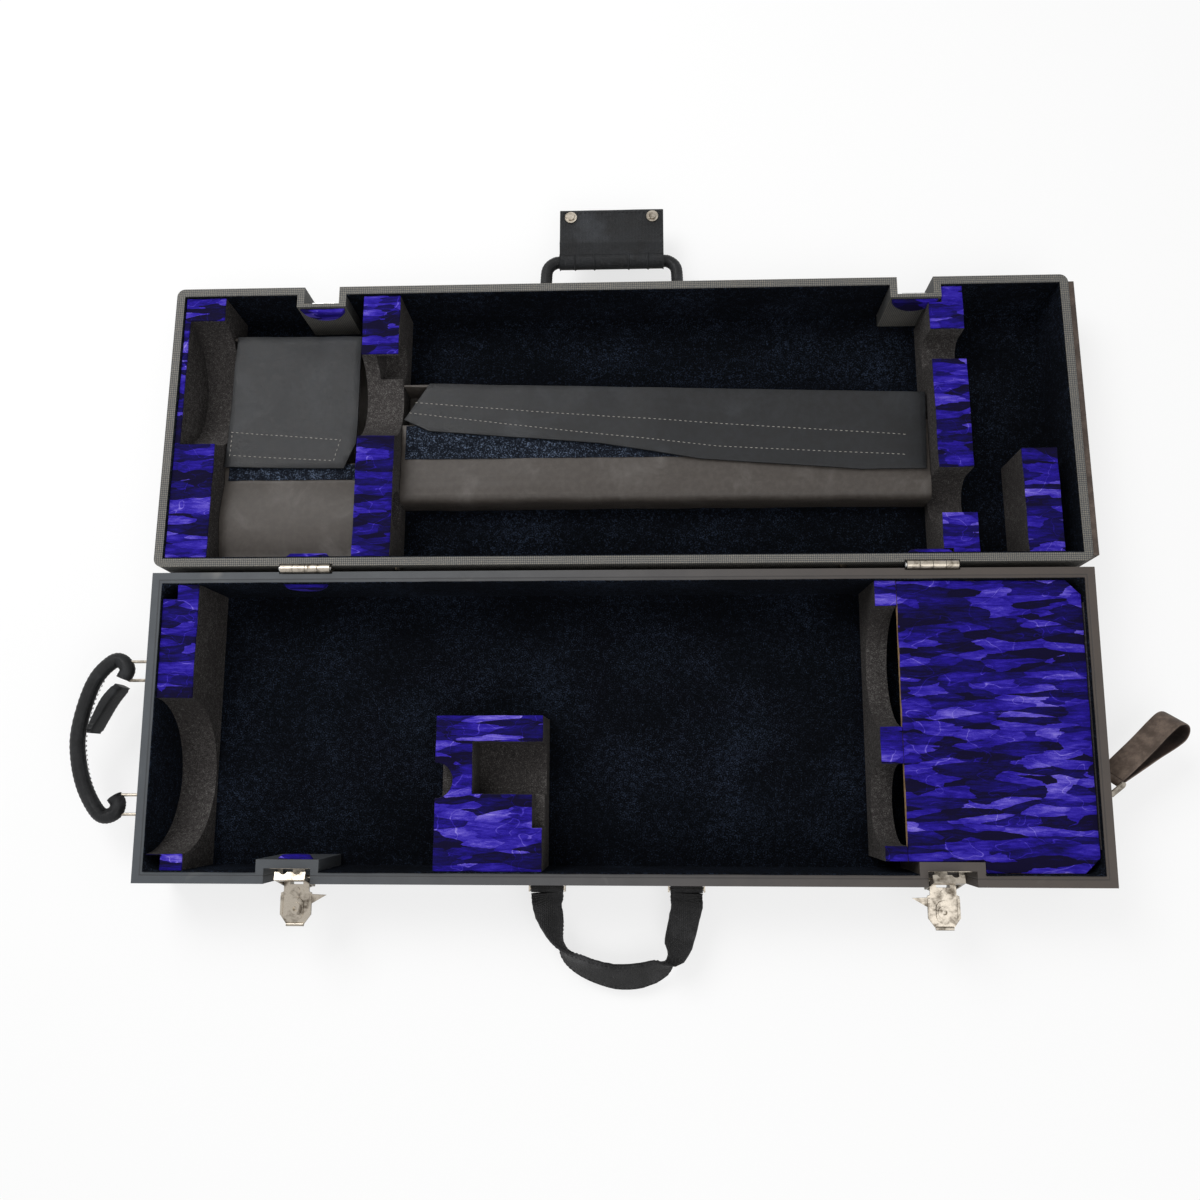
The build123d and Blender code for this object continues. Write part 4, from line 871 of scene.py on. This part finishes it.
bm = bmesh.new()
stations = front_line()
rings_to_tube(
    bm,
    [
        (spot, across * strap_half_width * (1 - 0.02 * (i % 2)), face * strap_half_depth
         * (1 if 3 < i < len(stations) - 4 else 0.65))
        for i, (spot, ahead, across, face) in enumerate(stations)
    ],
    square=0.6,
    sides=28,
)
ripple(bm, 0.5 * mm, 0.006, 2.0)
front_strap = to_piece(bm, "front_strap_band", strap_leather, "front_strap", ("front_strap",))
runs = []
for edge in (-1, 1):
    for face_side in (-1, 1):
        runs.append((
            [spot + across * edge * (strap_half_width - 2.2 * mm) + face * face_side * strap_half_depth * 0.86
             for spot, ahead, across, face in stations[4:-4]],
            stations[len(stations) // 2][3],
        ))
stitch_piece("front_strap_stitches", runs, dark_thread, "front_strap",
             2.6 * mm, 1.2 * mm, 0.3 * mm)

bm = bmesh.new()
for side in (-1, 1):
    eye = Vector((side * 57.0 * mm, -half_width - 5.2 * mm, 37.5 * mm))
    rings_to_tube(
        bm,
        [(eye + along * x * mm, Vector((0, 3.4 * mm, 0)), Vector((0, 0, 3.4 * mm)))
         for x in (-13.2, -12.6, 12.6, 13.2)],
        sides=20,
    )
to_piece(bm, "front_strap_eyes", strap_leather, "front_strap")

# %% [markdown]
# ## The handle on the left end
#
# A carrying handle of black leather is sewn round a cord core, with fine ribs across it,
# and its inner seam widens into a grooved flap. Its ends are curled round wire bails. The
# line is drawn from above, in millimetres out from the wall and along it.

# %% Left end handle
end_middle = Vector((-half_length, -9.4 * mm, 46 * mm))


def end_point(out, across, rise=0.0):
    return end_middle + Vector((-out * mm, across * mm, rise * mm))


grip_line = [
    (30.5, 49.5), (27.6, 57.5), (33.0, 64.5), (41.0, 64.0), (53.5, 51.0), (61.5, 30.0),
    (66.2, 2.0), (63.5, -22.0), (56.5, -43.0), (46.0, -60.0), (38.0, -65.5), (29.5, -62.5),
    (27.3, -55.0), (31.0, -49.5),
]
bm = bmesh.new()
line = [end_point(*p) for p in smooth_line(grip_line, 10)]
tube(bm, line, 6.1 * mm, Vector((0, 0, 1)), sides=20, ribs=0.05)
end_grip = to_piece(bm, "end_handle_tube", grip_leather, "end_handle", ("end_handle_grip",))

bm = bmesh.new()
flap_line = [(34.5, 45.0), (44.5, 33.0), (51.5, 17.0), (56.0, 3.5)]
inner_line = [(27.5, 41.5), (36.5, 29.0), (44.0, 15.5), (50.5, 3.0)]
outer, inner = smooth_line(flap_line, 8), smooth_line(inner_line, 8)
rings_to_tube(
    bm,
    [
        (
            (end_point(*a) + end_point(*b)) / 2,
            (end_point(*a) - end_point(*b)) * 0.5,
            Vector((0, 0, 11.2 * mm if 1 < i < len(outer) - 2 else 9.0 * mm))
            * (1 - 0.05 * (i % 2)),
        )
        for i, (a, b) in enumerate(zip(outer, inner))
    ],
    square=0.45,
    sides=24,
)
end_flap = to_piece(bm, "end_handle_seam_flap", grip_leather, "end_handle", ("end_handle_flap",))
seam = [end_point(x - 5.4, y, 4.6) for x, y in smooth_line(grip_line[4:11], 10)]
whip = bmesh.new()
for rise in (-4.4, 4.4):
    stitches(whip, [p + Vector((0, 0, (rise - 4.6) * mm)) for p in seam],
             Vector((0, 0, 1)), 2.0 * mm, 2.0 * mm, 0.45 * mm)
to_piece(whip, "end_handle_whip_seam", dark_thread, "end_handle")

# %% [markdown]
# ## The strap loop on the right end
#
# A flat strap is doubled over into a loop and hangs out from the right end. It is grey-
# brown outside and dark suede inside, so it is made as two bands, one just inside the
# other.

# %% Right strap loop
loop_root = Vector((half_length + 10 * mm, -42 * mm, 46 * mm))
heading, tilt = radians(38), radians(38)
loop_ahead = Vector((cos(heading), sin(heading), 0))
loop_side = Vector((sin(heading), -cos(heading), 0))
loop_up = Vector((0, 0, 1)) * cos(tilt) + loop_side * sin(tilt)
loop_across = loop_up.cross(loop_ahead)
loop_half = [(3.0, 1.3), (18.0, 3.0), (38.0, 5.6), (54.0, 8.4), (64.0, 9.4)]


def loop_band(name, inset, half_depth, half_width, material, stands_for=()):
    outline = [(x, y - inset) for x, y in loop_half]
    bend = 9.4 - inset
    outline += [(64 + bend * sin(a), bend * cos(a)) for a in (pi / 6, pi / 3, pi / 2)]
    outline += [(x, -y) for x, y in reversed(outline[:-1])]
    line = [loop_root + (loop_ahead * x + loop_across * y) * mm
            for x, y in smooth_line(outline, 5)]
    stations = []
    for i, spot in enumerate(line):
        ahead = (line[min(i + 1, len(line) - 1)] - line[max(i - 1, 0)]).normalized()
        stations.append((spot, loop_up * half_width, ahead.cross(loop_up).normalized() * half_depth))
    bm = bmesh.new()
    rings_to_tube(bm, stations, square=0.4, sides=16)
    ripple(bm, 0.25 * mm, 0.02)
    piece = to_piece(bm, name, material, "right_strap", stands_for)
    length = sum((b - a).length for a, b in zip(line, line[1:]))
    return line


loop_band("right_strap_outside", 0.0, 0.8 * mm, 11.8 * mm, loop_leather, ("right_strap",))
loop_band("right_strap_inside", 1.25, 0.5 * mm, 11.6 * mm, loop_inside)
bm = bmesh.new()
rings_to_tube(
    bm,
    [(loop_root + loop_up * z * mm, loop_ahead * 3.2 * mm, loop_across * 3.2 * mm)
     for z in (-11.8, -11.2, 11.2, 11.8)],
    sides=20,
)
to_piece(bm, "right_strap_eye", loop_leather, "right_strap")

# %% [markdown]
# ## The handle on the lid
#
# The lid's handle is a leather arch on two brackets. A sleeve with piped edges covers its
# middle, and a wrap sewn to the sleeve is open and lies away from the case. Two snaps
# would close it round the grip.

# %% Lid handle
handle_x, handle_half, handle_drop = -4.0, 59.0, -25.0
handle_foot, handle_out = 263.65, 290.15
wrap_root = 300.0  # what lies nearer is tucked against the sleeve
bm = bmesh.new()
arch = [
    (handle_x - handle_half, handle_foot), (handle_x - handle_half, handle_foot + 9),
    (handle_x - handle_half + 1.2, handle_out - 7), (handle_x - handle_half + 7, handle_out - 1.2),
    (handle_x - handle_half + 16, handle_out), (handle_x, handle_out + 0.1),
    (handle_x + handle_half - 16, handle_out), (handle_x + handle_half - 7, handle_out - 1.2),
    (handle_x + handle_half - 1.2, handle_out - 7), (handle_x + handle_half, handle_foot + 9),
    (handle_x + handle_half, handle_foot),
]
arch_line = [on_lid(x, v, handle_drop) for x, v in smooth_line(arch, 8)]
tube(bm, arch_line, 5.2 * mm, lid_up, sides=18, ribs=0.04)
for end in (-1, 1):
    rings_to_tube(
        bm,
        [(on_lid(handle_x + end * handle_half + x, handle_foot, handle_drop), lid_out * 4.4 * mm,
          lid_up * 4.4 * mm) for x in (-5.2, -4.6, 4.6, 5.2)],
        sides=18,
    )
handle_core = to_piece(bm, "lid_handle_arch", grip_leather, "lid_handle", ("lid_handle_core",))

bm = bmesh.new()
piping = (-47.0, -33.0, -15.5, 15.5, 33.0, 47.0)
sleeve_stations = []
for x in sorted({*piping, *(p + d for p in piping for d in (-1.1, 1.1) if abs(p + d) <= 47)}):
    proud = 7.5 if any(abs(x - p) < 0.1 for p in piping) else 6.7
    sleeve_stations.append(
        (on_lid(handle_x + x, handle_out, handle_drop), lid_out * proud * mm, lid_up * proud * mm)
    )
rings_to_tube(bm, sleeve_stations, sides=24)
sleeve = to_piece(bm, "lid_handle_piped_sleeve", wrap_leather, "lid_handle",
                  ("lid_handle_sleeve",))

bm = solid_copy("lid_handle_flap")
round_edges(bm, 0.5 * mm, 2, 25)
grid_cuts(bm, 0.004)
for v in bm.verts:
    out = (v.co - hinge_line).dot(lid_out) / mm
    v.co -= lid_out * (3 * mm if out < wrap_root else 0)
    bulge = max(0.0, 1 - abs(out - 305.5) / 7.5)
    wave = noise.noise(v.co / 0.03)
    v.co += lid_up * (2.4 * bulge**2 * mm + 0.5 * mm * wave)
wrap = to_piece(bm, "lid_handle_wrap", wrap_leather, "handle_wrap", ("lid_handle_flap",))
top = handle_drop + 4.6
corners = [(-44.5, 312), (-44.5, 337), (44.5, 337), (44.5, 312)]
edge = [on_lid(handle_x + x, v, top) for x, v in corners]
stitch_piece("handle_wrap_stitches", [(edge, lid_up)], dark_thread, "handle_wrap",
             2.6 * mm, 1.2 * mm, 0.3 * mm)

# %% [markdown]
# ## Stitches on the flaps
#
# The hook tape under each flap is sewn on from above, so its outline shows as rows of
# pale stitches. They follow the measured rows and sit on the flap's own surface, which a
# ray from above finds.

# %% Flap stitches
bpy.context.view_layer.update()


def on_flap(flap, x, out):
    """The point of a flap's top surface above a place in the lid."""
    start = on_lid(x, out, 40)
    hit, spot, normal, index = flap.ray_cast(start, -lid_up)
    return spot + lid_up * 0.15 * mm if hit else None


def sewn_row(flap, corners, steps=24):
    line = []
    for (x0, v0), (x1, v1) in zip(corners, corners[1:]):
        for i in range(steps):
            t = i / steps
            spot = on_flap(flap, x0 + (x1 - x0) * t, v0 + (v1 - v0) * t)
            if spot:
                line.append(spot)
    return line


short_row = sewn_row(short_flap, ((-341, 131), (-243, 122), (-248, 103), (-341, 109), (-341, 131)))
long_rows = [
    sewn_row(long_flap, ((-182, 157), (-60, 146), (90, 134), (257, 121))),
    sewn_row(long_flap, ((-182, 147), (-60, 131), (90, 113), (256, 103))),
]
stitch_piece("short_flap_stitches", [(short_row, lid_up)], pale_thread, "short_flap",
             2.6 * mm, 1.9 * mm, 0.3 * mm)
stitch_piece("long_flap_stitches", [(row, lid_up) for row in long_rows], pale_thread,
             "long_flap", 2.6 * mm, 1.9 * mm, 0.3 * mm)

# %% [markdown]
# ## Light and floor
#
# The case was photographed on white with broad soft light. Two lamps above it give the
# leather its sheen, and the world fills the shadows. The camera, reflections and clear
# surfaces see the world as plain white. The floor glows for the camera only, and is matt
# for the rest, so that it looks nearly white and keeps a faint shadow.

# %% Light and floor
world = bpy.data.worlds.new("studio")
bpy.context.scene.world = world
world.use_nodes = True
tree = world.node_tree
background = tree.nodes["Background"]
rays = tree.nodes.new("ShaderNodeLightPath")
seen = None
for ray in ("Is Camera Ray", "Is Glossy Ray", "Is Transmission Ray"):
    if seen is None:
        seen = rays.outputs[ray]
        continue
    either = tree.nodes.new("ShaderNodeMath")
    either.operation = "MAXIMUM"
    tree.links.new(seen, either.inputs[0])
    tree.links.new(rays.outputs[ray], either.inputs[1])
    seen = either.outputs[0]
fill_level = 0.5
strength = tree.nodes.new("ShaderNodeMapRange")
strength.inputs["To Min"].default_value = fill_level
tree.links.new(seen, strength.inputs["Value"])
tree.links.new(strength.outputs["Result"], background.inputs["Strength"])
background.inputs["Color"].default_value = (1, 1, 1, 1)


def soft_lamp(name, place, aim, size, power):
    data = bpy.data.lights.new(name, "AREA")
    data.size, data.energy = size, power
    lamp = bpy.data.objects.new(name, data)
    lamp.location = place
    lamp.rotation_euler = (Vector(aim) - Vector(place)).to_track_quat("-Z", "Y").to_euler()
    bpy.context.scene.collection.objects.link(lamp)


soft_lamp("key", (-0.7, 0.9, 1.5), (0, 0.1, 0), 0.9, 17)
soft_lamp("top", (0.4, -0.7, 1.6), (0, 0.1, 0), 1.2, 9)

floor_glow = 0.7  # how much of what the camera sees of the floor is its own light
floor_material = bpy.data.materials.new("pale_floor")
floor_material.use_nodes = True
tree = floor_material.node_tree
tree.nodes.remove(tree.nodes["Principled BSDF"])
matt = tree.nodes.new("ShaderNodeBsdfDiffuse")
matt.inputs["Color"].default_value = paint(245, 245, 245)
glow = tree.nodes.new("ShaderNodeEmission")
blend = tree.nodes.new("ShaderNodeMixShader")
rays = tree.nodes.new("ShaderNodeLightPath")
share = tree.nodes.new("ShaderNodeMath")
share.operation, share.inputs[1].default_value = "MULTIPLY", floor_glow
tree.links.new(rays.outputs["Is Camera Ray"], share.inputs[0])
tree.links.new(share.outputs[0], blend.inputs[0])
tree.links.new(matt.outputs[0], blend.inputs[1])
tree.links.new(glow.outputs[0], blend.inputs[2])
tree.links.new(blend.outputs[0], tree.nodes["Material Output"].inputs["Surface"])

bm = bmesh.new()
bmesh.ops.create_grid(bm, x_segments=1, y_segments=1, size=6.0)
for v in bm.verts:
    v.co.z -= 0.2 * mm
mesh = bpy.data.meshes.new("floor")
bm.to_mesh(mesh)
bm.free()
mesh.materials.append(floor_material)
floor = bpy.data.objects.new("floor", mesh)
bpy.context.scene.collection.objects.link(floor)
